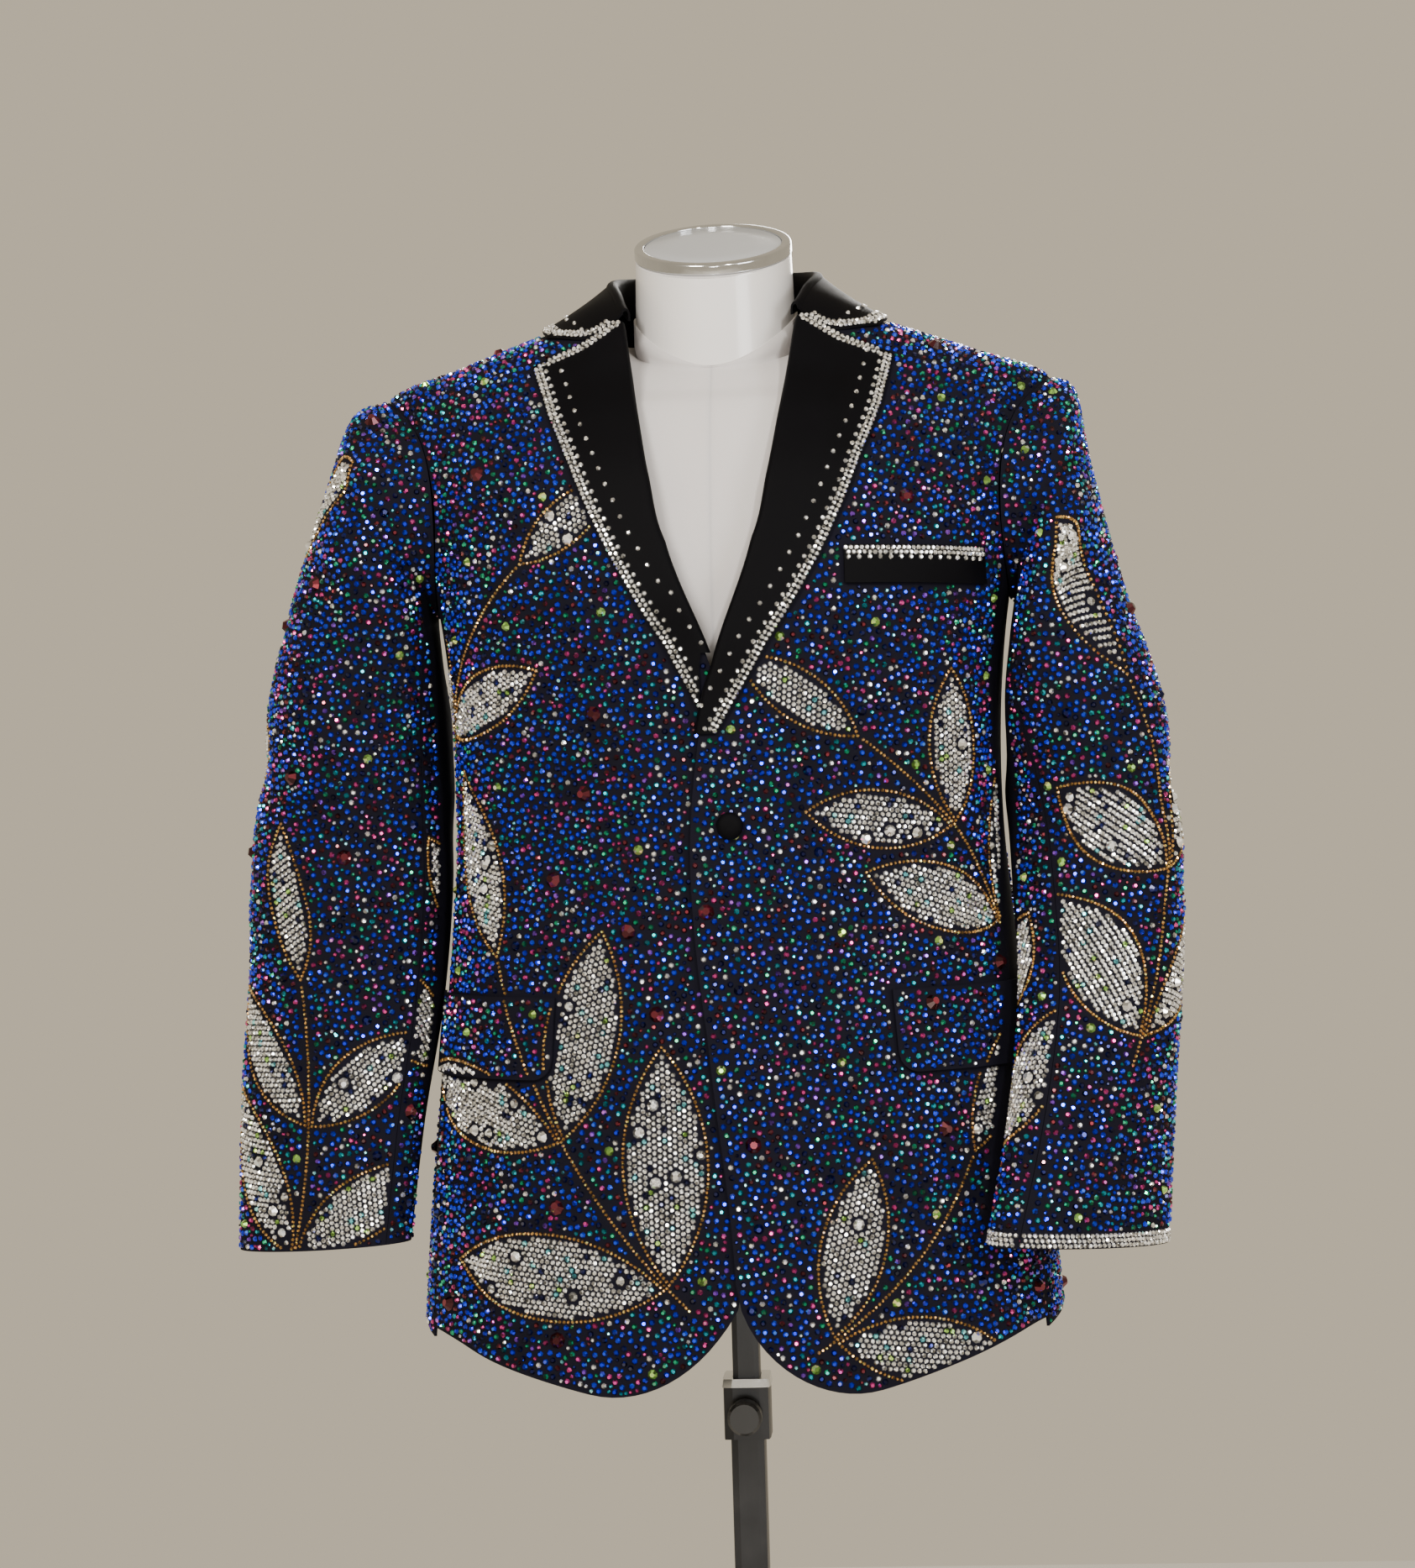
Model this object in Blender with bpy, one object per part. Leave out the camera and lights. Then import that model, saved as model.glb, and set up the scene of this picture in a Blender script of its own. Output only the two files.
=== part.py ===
"""Single-breasted jacket with long two-piece sleeves, on a limbless dress form with a sliding pole.

Units are metres, +Z is up and the front faces -Y. The origin is on the floor, on the pole's axis.
Every panel of the jacket is a thin wall read from one body surface, and every sleeve piece from one
sleeve surface, so that neighbouring pieces meet along shared lines. The wearer's left is at +X.
"""

import math

import bmesh
import bpy
import numpy as np

# Cloth walls and the spaces between them
CLOTH = 0.0020            # thickness of one wall of cloth
SEAM_GAP = 0.0003         # space between two pieces that are sewn edge to edge
LAYER_GAP = 0.0008        # space between a panel and a piece that lies on it
LAYER_LIFT = CLOTH + LAYER_GAP
PATCH_LIFT = CLOTH + 0.0013  # the same for flaps and the welt, whose panels bend under them
LAP_SHIFT = 0.0022        # how far each front moves out or in where one front laps over the other
LAP_FULL = 0.020          # distance from the middle up to which that shift is whole
LAP_WIDTH = 0.050         # distance over which it then fades away
LAP_TOP = 1.255           # height above which the fronts no longer lap
LAP_RISE = 0.5            # rows over which the shift fades away below that height
STEP = 1e-4               # step of the finite differences that give a surface's direction

# Body rings from the hem to the neck. Rows are counted from 0, and places between rows are allowed.
BODY_COLUMNS = ("height", "half_width", "front", "back", "squareness")
BODY_RINGS = (
    (0.690, 0.235, 0.150, 0.152, 2.35),
    (0.800, 0.226, 0.148, 0.149, 2.35),
    (0.920, 0.215, 0.144, 0.142, 2.35),
    (1.020, 0.204, 0.138, 0.131, 2.35),
    (1.100, 0.198, 0.136, 0.125, 2.35),
    (1.180, 0.199, 0.141, 0.127, 2.35),
    (1.260, 0.208, 0.145, 0.132, 2.30),
    (1.330, 0.226, 0.131, 0.130, 2.25),
    (1.380, 0.240, 0.107, 0.119, 2.15),
    (1.412, 0.241, 0.085, 0.104, 2.05),
    (1.432, 0.190, 0.076, 0.092, 2.00),
    (1.452, 0.134, 0.069, 0.082, 2.00),
    (1.472, 0.076, 0.061, 0.073, 2.00),
)
SHOULDER_ROW = 9.0        # row of the shoulder points
NECK_ROW = 12.0           # row of the points where the shoulder seams meet the collar
NECK_POINT = BODY_RINGS[-1][0]
BACK_NECK = 1.464         # height of the neckline at the middle of the back

# Lengthwise folds of the body: which half, angle and row of the middle, reach in both, depth
FOLD_COLUMNS = ("half", "angle", "row", "angle_reach", "row_reach", "depth")
BODY_FOLDS = (
    (+1, 1.10, 3.7, 0.18, 0.8, -0.0045),
    (+1, 0.62, 4.4, 0.18, 0.9, 0.0045),
    (-1, 1.05, 3.9, 0.18, 0.9, -0.0050),
    (-1, 0.58, 4.6, 0.18, 0.9, 0.0045),
    (+1, 0.75, 0.2, 0.22, 0.9, 0.0050),
    (-1, 0.85, 0.2, 0.22, 0.9, 0.0055),
    (+1, -0.85, 1.0, 0.22, 1.6, -0.0060),
    (-1, -0.80, 1.2, 0.22, 1.6, -0.0060),
    (+1, -1.20, 4.2, 0.20, 0.8, -0.0050),
    (-1, -1.15, 4.0, 0.20, 0.8, -0.0050),
)

# Armhole: an upright loop on each side of the body
ARM_TOP = 1.412
ARM_BOTTOM = 1.252
ARM_MIDDLE = (ARM_TOP + ARM_BOTTOM) / 2
ARM_HALF_HEIGHT = (ARM_TOP - ARM_BOTTOM) / 2
ARM_FRONT = 0.068
ARM_BACK = 0.074
SIDE_SHARE = 0.68         # where the side seams meet the armhole, as a share of its half width
SIDE_TURN = 0.38          # angle of the side seams at the hem
SIDE_FLARE = 0.016        # how much farther from the side line the side seams are at the hem

# Front edges, as distances from the middle at each height, positive on the front's own half
EDGE_COLUMNS = ("height", "distance")
ROLL_LINE = (
    (1.293, 0.0330),
    (1.338, 0.0440),
    (1.378, 0.0515),
    (1.415, 0.0580),
    (1.450, 0.0635),
    (1.472, 0.0690),
)
OVER_EDGE = (
    (0.690, 0.004),
    (0.800, 0.004),
    (0.950, -0.010),
    (1.035, -0.018),
    (1.095, -0.018),
    (1.160, -0.010),
    (1.205, 0.003),
)
UNDER_EDGE = (
    (0.690, -0.008),
    (0.800, -0.010),
    (0.950, -0.022),
    (1.035, -0.028),
    (1.095, -0.026),
    (1.160, -0.016),
    (1.205, 0.001),
)
FRONT_EDGE = {+1: OVER_EDGE + ROLL_LINE, -1: UNDER_EDGE + ROLL_LINE}
OVER_LAPEL = (
    (1.156, 0.000),
    (1.220, 0.038),
    (1.270, 0.070),
    (1.310, 0.090),
    (1.350, 0.106),
    (1.385, 0.120),
    (1.430, 0.131),
)
UNDER_LAPEL = (
    (1.156, 0.000),
    (1.220, 0.032),
    (1.270, 0.061),
    (1.310, 0.081),
    (1.350, 0.098),
    (1.385, 0.113),
    (1.430, 0.129),
)
LAPEL_EDGE = {+1: OVER_LAPEL, -1: UNDER_LAPEL}
LAPEL_LEAST = 0.010       # least width of the lapel, at its lower end
LAPEL_BOTTOM = {+1: (1.160, 1.160), -1: (1.215, 1.172)}   # heights at the roll and at the edge
ROLL_TOP = 1.4556
GORGE_TOP = 1.4395
GORGE_SHARE = 0.42        # where the notch divides the lapel's top edge
LAPEL_TIP = 1.4235
LAPEL_START = 0.003       # distance from the roll line to the flat part of the lapel
LAPEL_BEND = 0.0006       # space inside the bend along the roll line
LAPEL_TURNS = (0.0, 45.0, 90.0)    # angles of the points around that bend
LAPEL_SHARES = (0.0, GORGE_SHARE / 2, GORGE_SHARE, 0.61, 0.81, 1.0)
CROWDED = 1.4             # power that crowds a lattice's lines towards one of its sides

# Hem: heights at the front, side and back, and the rounded corner of each front
HEM_FRONT = 0.697
HEM_SIDE = 0.742
HEM_BACK = 0.744
CORNER_WIDTH = 0.080
CORNER_HEIGHT = 0.086
FRONT_WIDTH = 0.250       # length along a front from its edge to the side seam

# Patch pieces on the fronts: where they start, how long they are and their top and bottom heights
WELT_START = 0.092
WELT_END = 0.188
WELT_TOP = 1.286
WELT_DEPTH = 0.026
FLAP_START = 0.116
FLAP_LENGTH = 0.150
FLAP_TOP = 0.980
FLAP_DEPTH = 0.057
FLAP_CORNER = 0.014
WELT_CROWDED = 0.8        # power that crowds the welt's lines towards its far end

# Sleeve rings from the armhole to the cuff, in the half's own terms with x away from the body.
# Each ring passes an outer and an inner point; thick is its half thickness across that line.
SLEEVE_COLUMNS = ("out_x", "out_y", "out_z", "in_x", "in_y", "in_z", "thick")
SLEEVE_RINGS = {
    +1: (
        (0.258, 0.000, 1.401, 0.2125, -0.010, 1.255, 0.073),
        (0.268, 0.002, 1.345, 0.2075, -0.024, 1.222, 0.076),
        (0.287, 0.002, 1.265, 0.2025, -0.036, 1.170, 0.073),
        (0.309, -0.002, 1.176, 0.2080, -0.036, 1.105, 0.069),
        (0.313, -0.010, 1.093, 0.2110, -0.062, 1.045, 0.060),
        (0.314, -0.028, 1.000, 0.2120, -0.095, 0.970, 0.048),
        (0.307, -0.050, 0.905, 0.200, -0.127, 0.890, 0.038),
        (0.300, -0.070, 0.796, 0.180, -0.151, 0.806, 0.032),
    ),
    -1: (
        (0.266, 0.000, 1.401, 0.2125, -0.010, 1.255, 0.073),
        (0.288, 0.002, 1.345, 0.2085, -0.020, 1.222, 0.076),
        (0.315, 0.004, 1.267, 0.2070, -0.012, 1.170, 0.073),
        (0.337, 0.004, 1.181, 0.2070, -0.014, 1.110, 0.068),
        (0.348, 0.002, 1.100, 0.207, -0.018, 1.050, 0.061),
        (0.354, -0.004, 1.000, 0.214, -0.030, 0.970, 0.052),
        (0.361, -0.014, 0.905, 0.227, -0.046, 0.890, 0.042),
        (0.364, -0.024, 0.796, 0.237, -0.062, 0.804, 0.034),
    ),
}
HEAD_LIFT = 0.0016        # how far the sleeve's underarm stands above the side panel's top edge
HEAD_OUT = 0.0011         # how far the sleeve starts outside the armhole
FRONT_SEAM = 2.62         # angle of a sleeve's front seam from its outer line
BACK_SEAM_TOP = -1.95     # angle of its back seam at the armhole
BACK_SEAM_CUFF = -0.80    # and at the cuff, where it comes round to the outside
SLEEVE_SEAM_TURN = 0.0040 # half the angle between the two pieces at a seam
SLEEVE_HEAD_ROWS = (0.0, 0.35, 0.7)   # rows of points near the armhole, where the sleeve turns down
STEEP = 0.70              # share of upright above which a ring's line is too steep to turn downward
SLEEVE_FOLDS = (
    (+1, 1.35, 2.3, 0.55, 0.30, 0.0060),
    (+1, 1.25, 2.9, 0.60, 0.28, -0.0050),
    (+1, 1.45, 3.6, 0.60, 0.28, 0.0065),
    (+1, 0.20, 4.6, 0.70, 0.30, -0.0045),
    (+1, 1.10, 5.1, 0.70, 0.30, 0.0050),
    (-1, 1.30, 2.2, 0.55, 0.30, 0.0060),
    (-1, 1.20, 2.8, 0.60, 0.28, -0.0050),
    (-1, 1.40, 3.7, 0.60, 0.28, 0.0065),
    (-1, 0.30, 4.4, 0.70, 0.30, -0.0045),
    (-1, 1.20, 5.2, 0.70, 0.30, 0.0050),
    (+1, -2.60, 3.9, 0.70, 0.35, 0.0020),
    (-1, -2.60, 3.8, 0.70, 0.35, 0.0020),
)

# Collar rows from its front end to the middle of the back, around an upright axis in the neck.
# Angles are in degrees, 0 at the side and 90 at the back.
COLLAR_COLUMNS = (
    "fold_angle", "edge_angle", "fold_radius", "fold_height", "seam_height", "edge_radius", "edge_height"
)
COLLAR_ROWS = (
    (-45.0, -21.0, 0.0890, 1.4660, 1.4580, 0.1280, 1.4510),
    (-26.0, -9.0, 0.0810, 1.4840, 1.4690, 0.1270, 1.4580),
    (0.0, 8.0, 0.0785, 1.4960, 1.4755, 0.1200, 1.4600),
    (30.0, 33.0, 0.0775, 1.5030, 1.4740, 0.1070, 1.4560),
    (60.0, 61.0, 0.0760, 1.5070, 1.4720, 0.0940, 1.4550),
    (90.0, 90.0, 0.0750, 1.5090, 1.4710, 0.0880, 1.4550),
)
COLLAR_FOLD_RADIUS = 0.0034
COLLAR_CENTRE_Y = 0.004
COLLAR_LIFT = 0.0036      # height of the collar's fall above the body surface
GORGE_DIP = 0.0070        # how far the collar's front end dips between its fold and its corner
GORGE_TURN = 1.5          # how far it comes forward there, in degrees

# Buttons
FRONT_BUTTON_RADIUS = 0.0095
FRONT_BUTTON_HEIGHT = 0.0065
FRONT_BUTTON_X = 0.009
FRONT_BUTTON_Z = 1.096
CUFF_BUTTON_RADIUS = 0.0070
CUFF_BUTTON_HEIGHT = 0.0050
CUFF_BUTTON_ROWS = (7.22, 7.38, 7.54, 7.70)
CUFF_BUTTON_ANGLE = -0.42
CUFF_BUTTON_LIFT = 0.0003  # space under a cuff button, whose base is flat on a round sleeve

# Dress form: heights at its front and back, and how much the rows rise at the shoulders
FORM_COLUMNS = ("height", "half_width", "front", "back", "rise", "squareness")
FORM_RINGS = (
    (0.800, 0.160, 0.108, 0.110, 0.000, 2.2),
    (0.835, 0.168, 0.115, 0.118, 0.000, 2.2),
    (0.920, 0.170, 0.117, 0.120, 0.000, 2.2),
    (1.020, 0.152, 0.106, 0.102, 0.000, 2.2),
    (1.095, 0.143, 0.101, 0.094, 0.000, 2.2),
    (1.180, 0.153, 0.111, 0.101, 0.000, 2.2),
    (1.265, 0.170, 0.122, 0.110, 0.000, 2.2),
    (1.330, 0.188, 0.112, 0.110, 0.004, 2.2),
    (1.372, 0.205, 0.096, 0.103, 0.012, 2.1),
    (1.392, 0.206, 0.086, 0.095, 0.022, 2.0),
)
FORM_SHOULDER_X = 0.190
FORM_SHOULDER_DROP = 0.0019   # depth of the form's shoulder line below the middle of the cloth
NECK_RADIUS_X = 0.0590
NECK_RADIUS_Y = 0.0600
NECK_BASE_HEIGHT = 1.442
NECK_BASE_SLOPE = 0.34        # rise of the neck's base line towards the back
NECK_TOP_HEIGHT = 1.511
CAP_TILT = math.radians(25)   # the neck cap leans towards the front
CAP_RADIUS = 0.0575
CAP_RIM = 0.007
CAP_HEIGHT = 0.008
CAP_CENTRE_Y = -0.006
CAP_SPACE = 0.0004        # space between the neck's top and the cap
NECK_TAPER = 0.035        # how much narrower the neck is at its top, as a share
NECK_SHARES = (0.35, 0.7, 1.0)
TOP_SHARES = (0.0, 0.32, 0.64)     # places of the rings between the shoulders and the neck
TOP_RISE = 0.006          # height of those rings above the last ring of the table
TOP_INSET = 0.004         # how much shallower they are than it

# Stand
POLE_HALF = 0.0100
POLE_WALL = 0.0015
POLE_BOTTOM = 0.330
TUBE_HALF = 0.0125
TUBE_WALL = 0.0019
TUBE_TOP = 0.672
CLAMP_HALF = 0.0170
CLAMP_BOTTOM = 0.648
CLAMP_TOP = 0.692
CLAMP_BAND_HEIGHT = 0.006
BOSS_RADIUS = 0.0095
BOSS_LENGTH = 0.010
BEVEL = 0.002             # bevel of the boss and the knob
SCREW_RADIUS = 0.0040
KNOB_RADIUS = 0.0125
KNOB_LENGTH = 0.014
KNOB_HEIGHT = 0.668
BASE_RADIUS = 0.190
BASE_THICKNESS = 0.012
BASE_BEVEL = 0.003
FOOT_RADIUS = 0.034
FOOT_HEIGHT = 0.016
SQUARE = 14.0             # power that turns a circle into a square with small round corners

# Sampling of the lattices
BODY_LOW_STEPS = 13
BODY_ARM_STEPS = 7
BODY_TOP_STEPS = 6
FRONT_STEPS = 13
BACK_STEPS = 8
SIDE_STEPS = 4
TOP_SLEEVE_STEPS = 12
UNDER_SLEEVE_STEPS = 8
LAPEL_LINES = 15
FLAP_LINES = (4, 10)      # lines down and along
WELT_LINES = (3, 9)

HALVES = {"left": +1, "right": -1}


def named(columns, row):
    """Row of a table as a dictionary from the table's column names."""
    return dict(zip(columns, row))


def smooth(table, columns, name, place):
    """Value of the named column at fractional rows, on a curve through all the rows."""
    values = np.array([row[columns.index(name)] for row in table], dtype=float)
    return smooth_rows(values, place)


def smooth_rows(values, place):
    """Cubic curve through values, whose first axis is the row, at the fractional rows place."""
    slopes = np.gradient(values, axis=0)
    place = np.clip(np.asarray(place, dtype=float), 0, len(values) - 1)
    low = np.minimum(np.floor(place).astype(int), len(values) - 2)
    part = place - low
    extra = values.ndim - 1
    if extra and part.ndim == 0:
        part = part.reshape((1,) * extra)
    start, end = values[low], values[low + 1]
    rise, fall = slopes[low], slopes[low + 1]
    square, cube = part**2, part**3
    return (
        (2 * cube - 3 * square + 1) * start
        + (cube - 2 * square + part) * rise
        + (3 * square - 2 * cube) * end
        + (cube - square) * fall
    )


def at_height(table, height):
    """Distance that an edge table gives at this height, on a smooth curve."""
    heights = [row[EDGE_COLUMNS.index("height")] for row in table]
    place = np.interp(height, heights, np.arange(len(heights)))
    return smooth(table, EDGE_COLUMNS, "distance", place)


def body_row(height):
    """Fractional row of the body ring at this height."""
    rows = np.linspace(0, NECK_ROW, 481)
    heights = smooth(BODY_RINGS, BODY_COLUMNS, "height", rows)
    return np.interp(height, heights, rows)


def ring_sizes(angle, row):
    """Half width, depth on the side where angle lies, and squareness of the ring at row."""
    half = smooth(BODY_RINGS, BODY_COLUMNS, "half_width", row)
    front = smooth(BODY_RINGS, BODY_COLUMNS, "front", row)
    back = smooth(BODY_RINGS, BODY_COLUMNS, "back", row)
    depth = np.where(np.asarray(angle) >= 0, front, back)
    return half, depth, smooth(BODY_RINGS, BODY_COLUMNS, "squareness", row)


def power(value, exponent):
    """Power of the size of value that keeps its sign."""
    return np.sign(value) * np.abs(value) ** exponent


def plain_body(angle, row):
    """Point of the smooth body surface on the +X half; angle runs from the side to the front."""
    half, depth, squareness = ring_sizes(angle, row)
    x = half * power(np.cos(angle), 2 / squareness)
    y = -depth * power(np.sin(angle), 2 / squareness)
    z = smooth(BODY_RINGS, BODY_COLUMNS, "height", row) + 0 * x
    return np.stack([x, y, z], axis=-1)


def angle_at_x(row, x):
    """Angle where the ring at row passes this x on its front."""
    half, _, squareness = ring_sizes(1.0, row)
    return np.arccos(np.clip(power(x / half, squareness / 2), -1, 1))


def angle_at_y(row, y):
    """Angle where the ring at row passes this y; a positive angle is in front of the side line."""
    _, depth, squareness = ring_sizes(-np.asarray(y, dtype=float), row)
    return np.arcsin(np.clip(power(-y / depth, squareness / 2), -1, 1))


def unit(vectors):
    """Vectors scaled to length 1."""
    return vectors / np.linalg.norm(vectors, axis=-1, keepdims=True)


def body_normal(angle, row):
    """Outward direction of the smooth body surface on the +X half."""
    across = plain_body(angle + STEP, row) - plain_body(angle - STEP, row)
    low = np.clip(row - STEP * 10, 0, NECK_ROW)
    high = np.clip(row + STEP * 10, 0, NECK_ROW)
    upward = plain_body(angle, high) - plain_body(angle, low)
    return unit(np.cross(upward, across))


def folds(table, half, angle, row):
    """Sum of the soft folds that a table gives for one half."""
    total = 0.0
    for values in table:
        fold = named(FOLD_COLUMNS, values)
        if fold["half"] == half:
            across = (angle - fold["angle"]) / fold["angle_reach"]
            along = (row - fold["row"]) / fold["row_reach"]
            total = total + fold["depth"] * np.exp(-(across**2 + along**2))
    return total


def lap(half, x, row):
    """Shift of a front where it passes over or under the other front."""
    near = np.clip(1 - (np.abs(x) - LAP_FULL) / LAP_WIDTH, 0, 1)
    below = np.clip((body_row(LAP_TOP) - row) / LAP_RISE, 0, 1)
    front = near**2 * (3 - 2 * near) * below**2 * (3 - 2 * below)
    return half * LAP_SHIFT * front


def jacket_point(half, angle, row, lift=0.0):
    """Point on one half of the jacket's body, lift metres outside the middle of its cloth."""
    angle, row, lift = np.broadcast_arrays(angle, row, lift)
    point = plain_body(angle, row)
    fade = np.clip((SHOULDER_ROW - row) / 2, 0, 1)
    relief = folds(BODY_FOLDS, half, angle, row) * fade
    relief = relief + np.where(angle > 0, lap(half, point[..., 0], row), 0.0)
    point = point + body_normal(angle, row) * (relief + lift)[..., None]
    return point * np.array([half, 1.0, 1.0])


def arm_half_width(height, back):
    """Half width of the armhole at this height, in front of or behind the side line."""
    reach = ARM_BACK if back else ARM_FRONT
    share = np.clip((height - ARM_MIDDLE) / ARM_HALF_HEIGHT, -1, 1)
    return reach * np.sqrt(1 - share**2)


def side_distance(row, back):
    """Distance of the panel's side boundary from the side line: side seam, then armhole."""
    height = smooth(BODY_RINGS, BODY_COLUMNS, "height", row)
    reach = ARM_BACK if back else ARM_FRONT
    flare = SIDE_FLARE * np.clip((ARM_BOTTOM - height) / (ARM_BOTTOM - HEM_SIDE), 0, 1)
    seam = reach * SIDE_SHARE + flare
    armhole = arm_half_width(height, back)
    above = height > ARM_MIDDLE
    return np.where(above, armhole, np.maximum(seam, armhole))


def corner_height():
    """Height where the side seams meet the armhole."""
    return ARM_MIDDLE - ARM_HALF_HEIGHT * math.sqrt(1 - SIDE_SHARE**2)


def hem_height(angle):
    """Height of the hem at an angle from the side line, without the rounded front corners."""
    share = np.clip(np.abs(angle) / (math.pi / 2), 0, 1)
    far = np.where(np.asarray(angle) > 0, HEM_FRONT, HEM_BACK)
    return HEM_SIDE + (far - HEM_SIDE) * share**2 * (3 - 2 * share)


def rounded(distance, width, height):
    """Rise of a rounded corner at a distance from its upright edge."""
    share = np.clip(1 - distance / width, 0, 1)
    return height * (1 - np.sqrt(1 - share**2))


def panel_rows(low, middle, top):
    """Rows of a panel: from the hem to the armhole's corner, along the armhole, over the shoulder."""
    below = np.linspace(0, 1, BODY_LOW_STEPS + 1)
    lower = low + (middle - low) * below[:, None]
    armhole = np.linspace(middle, SHOULDER_ROW, BODY_ARM_STEPS + 1)[1:, None] + 0 * low
    shoulder = np.linspace(SHOULDER_ROW, top, BODY_TOP_STEPS + 1)[1:, None] + 0 * low
    return np.concatenate([lower, armhole, shoulder])


def wall_faces(rows, columns):
    """Faces of a wall whose two skins are lattices of rows by columns, with a closed rim."""
    count = rows * columns
    faces = []
    for r in range(rows - 1):
        for c in range(columns - 1):
            a = r * columns + c
            faces.append((a, a + 1, a + columns + 1, a + columns))
            faces.append((count + a, count + a + columns, count + a + columns + 1, count + a + 1))
    rim = [c for c in range(columns)]
    rim += [r * columns + columns - 1 for r in range(1, rows)]
    rim += [(rows - 1) * columns + c for c in range(columns - 2, -1, -1)]
    rim += [r * columns for r in range(rows - 2, 0, -1)]
    for a, b in zip(rim, rim[1:] + rim[:1]):
        faces.append((a, count + a, count + b, b))
    return faces


def add_solid(name, points, faces, finish):
    """One closed object from points and faces, with its faces turned outward."""
    mesh = bpy.data.meshes.new(name)
    mesh.from_pydata([tuple(point) for point in points], [], faces)
    shape = bmesh.new()
    shape.from_mesh(mesh)
    bmesh.ops.recalc_face_normals(shape, faces=shape.faces)
    shape.to_mesh(mesh)
    shape.free()
    mesh.shade_smooth()
    mesh.set_sharp_from_angle(angle=math.radians(40))
    solid = bpy.data.objects.new(name, mesh)
    mesh.materials.append(material(name, *finish))
    bpy.context.scene.collection.objects.link(solid)
    return solid


def material(name, colour, roughness, metallic):
    """Principled material with the piece's own colour, roughness and metallic value."""
    surface = bpy.data.materials.new(name + "_finish")
    surface.use_nodes = True
    shader = surface.node_tree.nodes["Principled BSDF"]
    shader.inputs["Base Color"].default_value = (*colour, 1.0)
    shader.inputs["Roughness"].default_value = roughness
    shader.inputs["Metallic"].default_value = metallic
    surface.diffuse_color = (*colour, 1.0)
    return surface


def add_wall(name, outer, inner, finish):
    """Wall of cloth between an outer and an inner lattice of points."""
    rows, columns = outer.shape[:2]
    points = np.concatenate([outer.reshape(-1, 3), inner.reshape(-1, 3)])
    return add_solid(name, points, wall_faces(rows, columns), finish)


def add_cloth(name, surface, finish, lift=0.0):
    """Wall of cloth around a surface that takes a lift from its middle."""
    return add_wall(name, surface(lift + CLOTH / 2), surface(lift - CLOTH / 2), finish)


# Finishes: colour, roughness, metallic
STONED_CLOTH = ((0.035, 0.055, 0.160), 0.32, 0.35)
BLACK_SATIN = ((0.010, 0.010, 0.012), 0.42, 0.0)
COVERED_FORM = ((0.780, 0.780, 0.770), 0.75, 0.0)
GLOSS_WHITE = ((0.820, 0.820, 0.810), 0.30, 0.0)
CHROME = ((0.720, 0.730, 0.740), 0.18, 1.0)
BLACK_METAL = ((0.012, 0.012, 0.013), 0.38, 0.3)
CRYSTAL = ((0.560, 0.580, 0.620), 0.15, 0.8)


def front_lattice(half):
    """Angles and rows of a front panel, from its edge to its side boundary."""
    shares = np.linspace(0, 1, FRONT_STEPS + 1) ** CROWDED
    guess = math.pi / 2 * (1 - shares)
    base = hem_height(guess) + rounded(shares * FRONT_WIDTH, CORNER_WIDTH, CORNER_HEIGHT)
    low = body_row(base)
    rows = panel_rows(low, body_row(corner_height()), NECK_ROW - 0.02)
    height = smooth(BODY_RINGS, BODY_COLUMNS, "height", rows)
    edge = angle_at_x(rows, at_height(FRONT_EDGE[half], height))
    side = side_angle(rows, back=False)
    return edge + (side - edge) * shares[None, :], rows


def side_angle(rows, back):
    """Angle of a panel's side boundary, half a seam gap inside the shared line."""
    distance = side_distance(rows, back) + SEAM_GAP / 2
    return angle_at_y(rows, distance if back else -distance)


def back_lattice():
    """Angles and rows of a back panel, from the centre seam to its side boundary."""
    shares = np.linspace(0, 1, BACK_STEPS + 1)
    low = body_row(hem_height(-math.pi / 2 * (1 - shares)))
    rows = panel_rows(low, body_row(corner_height()), NECK_ROW - 0.02)
    height = smooth(BODY_RINGS, BODY_COLUMNS, "height", rows)
    neck = np.sqrt(np.clip((height - BACK_NECK) / (NECK_POINT - BACK_NECK), 0, 1))
    centre = -angle_at_x(rows, np.maximum(SEAM_GAP / 2, 0.074 * neck))
    side = side_angle(rows, back=True)
    return centre + (side - centre) * shares[None, :], rows


def side_lattice():
    """Angles and rows of a side panel, from its front seam to its back seam, under the armhole."""
    shares = np.linspace(0, 1, SIDE_STEPS + 1)
    below = np.linspace(0, 1, BODY_LOW_STEPS + 1)[:, None]
    distance = -ARM_FRONT * SIDE_SHARE + (ARM_FRONT + ARM_BACK) * SIDE_SHARE * shares
    reach = np.where(distance < 0, ARM_FRONT, ARM_BACK)
    top = ARM_MIDDLE - ARM_HALF_HEIGHT * np.sqrt(1 - (distance / reach) ** 2)
    high = body_row(top)
    guess = np.linspace(SIDE_TURN, -SIDE_TURN, SIDE_STEPS + 1)
    low = body_row(hem_height(guess))
    rows = low + (high - low) * below
    front = angle_at_y(rows, -(side_distance(rows, False) - SEAM_GAP / 2))
    back = angle_at_y(rows, side_distance(rows, True) - SEAM_GAP / 2)
    return front + (back - front) * shares[None, :], rows


def build_body(half, name):
    """Front, side and back panels of one half."""
    for piece, lattice in (
        ("front", front_lattice(half)),
        ("side", side_lattice()),
        ("back", back_lattice()),
    ):
        angles, rows = lattice

        def surface(lift, angles=angles, rows=rows):
            return jacket_point(half, angles, rows, lift)

        add_cloth(f"{piece}_{name}", surface, STONED_CLOTH)


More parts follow.
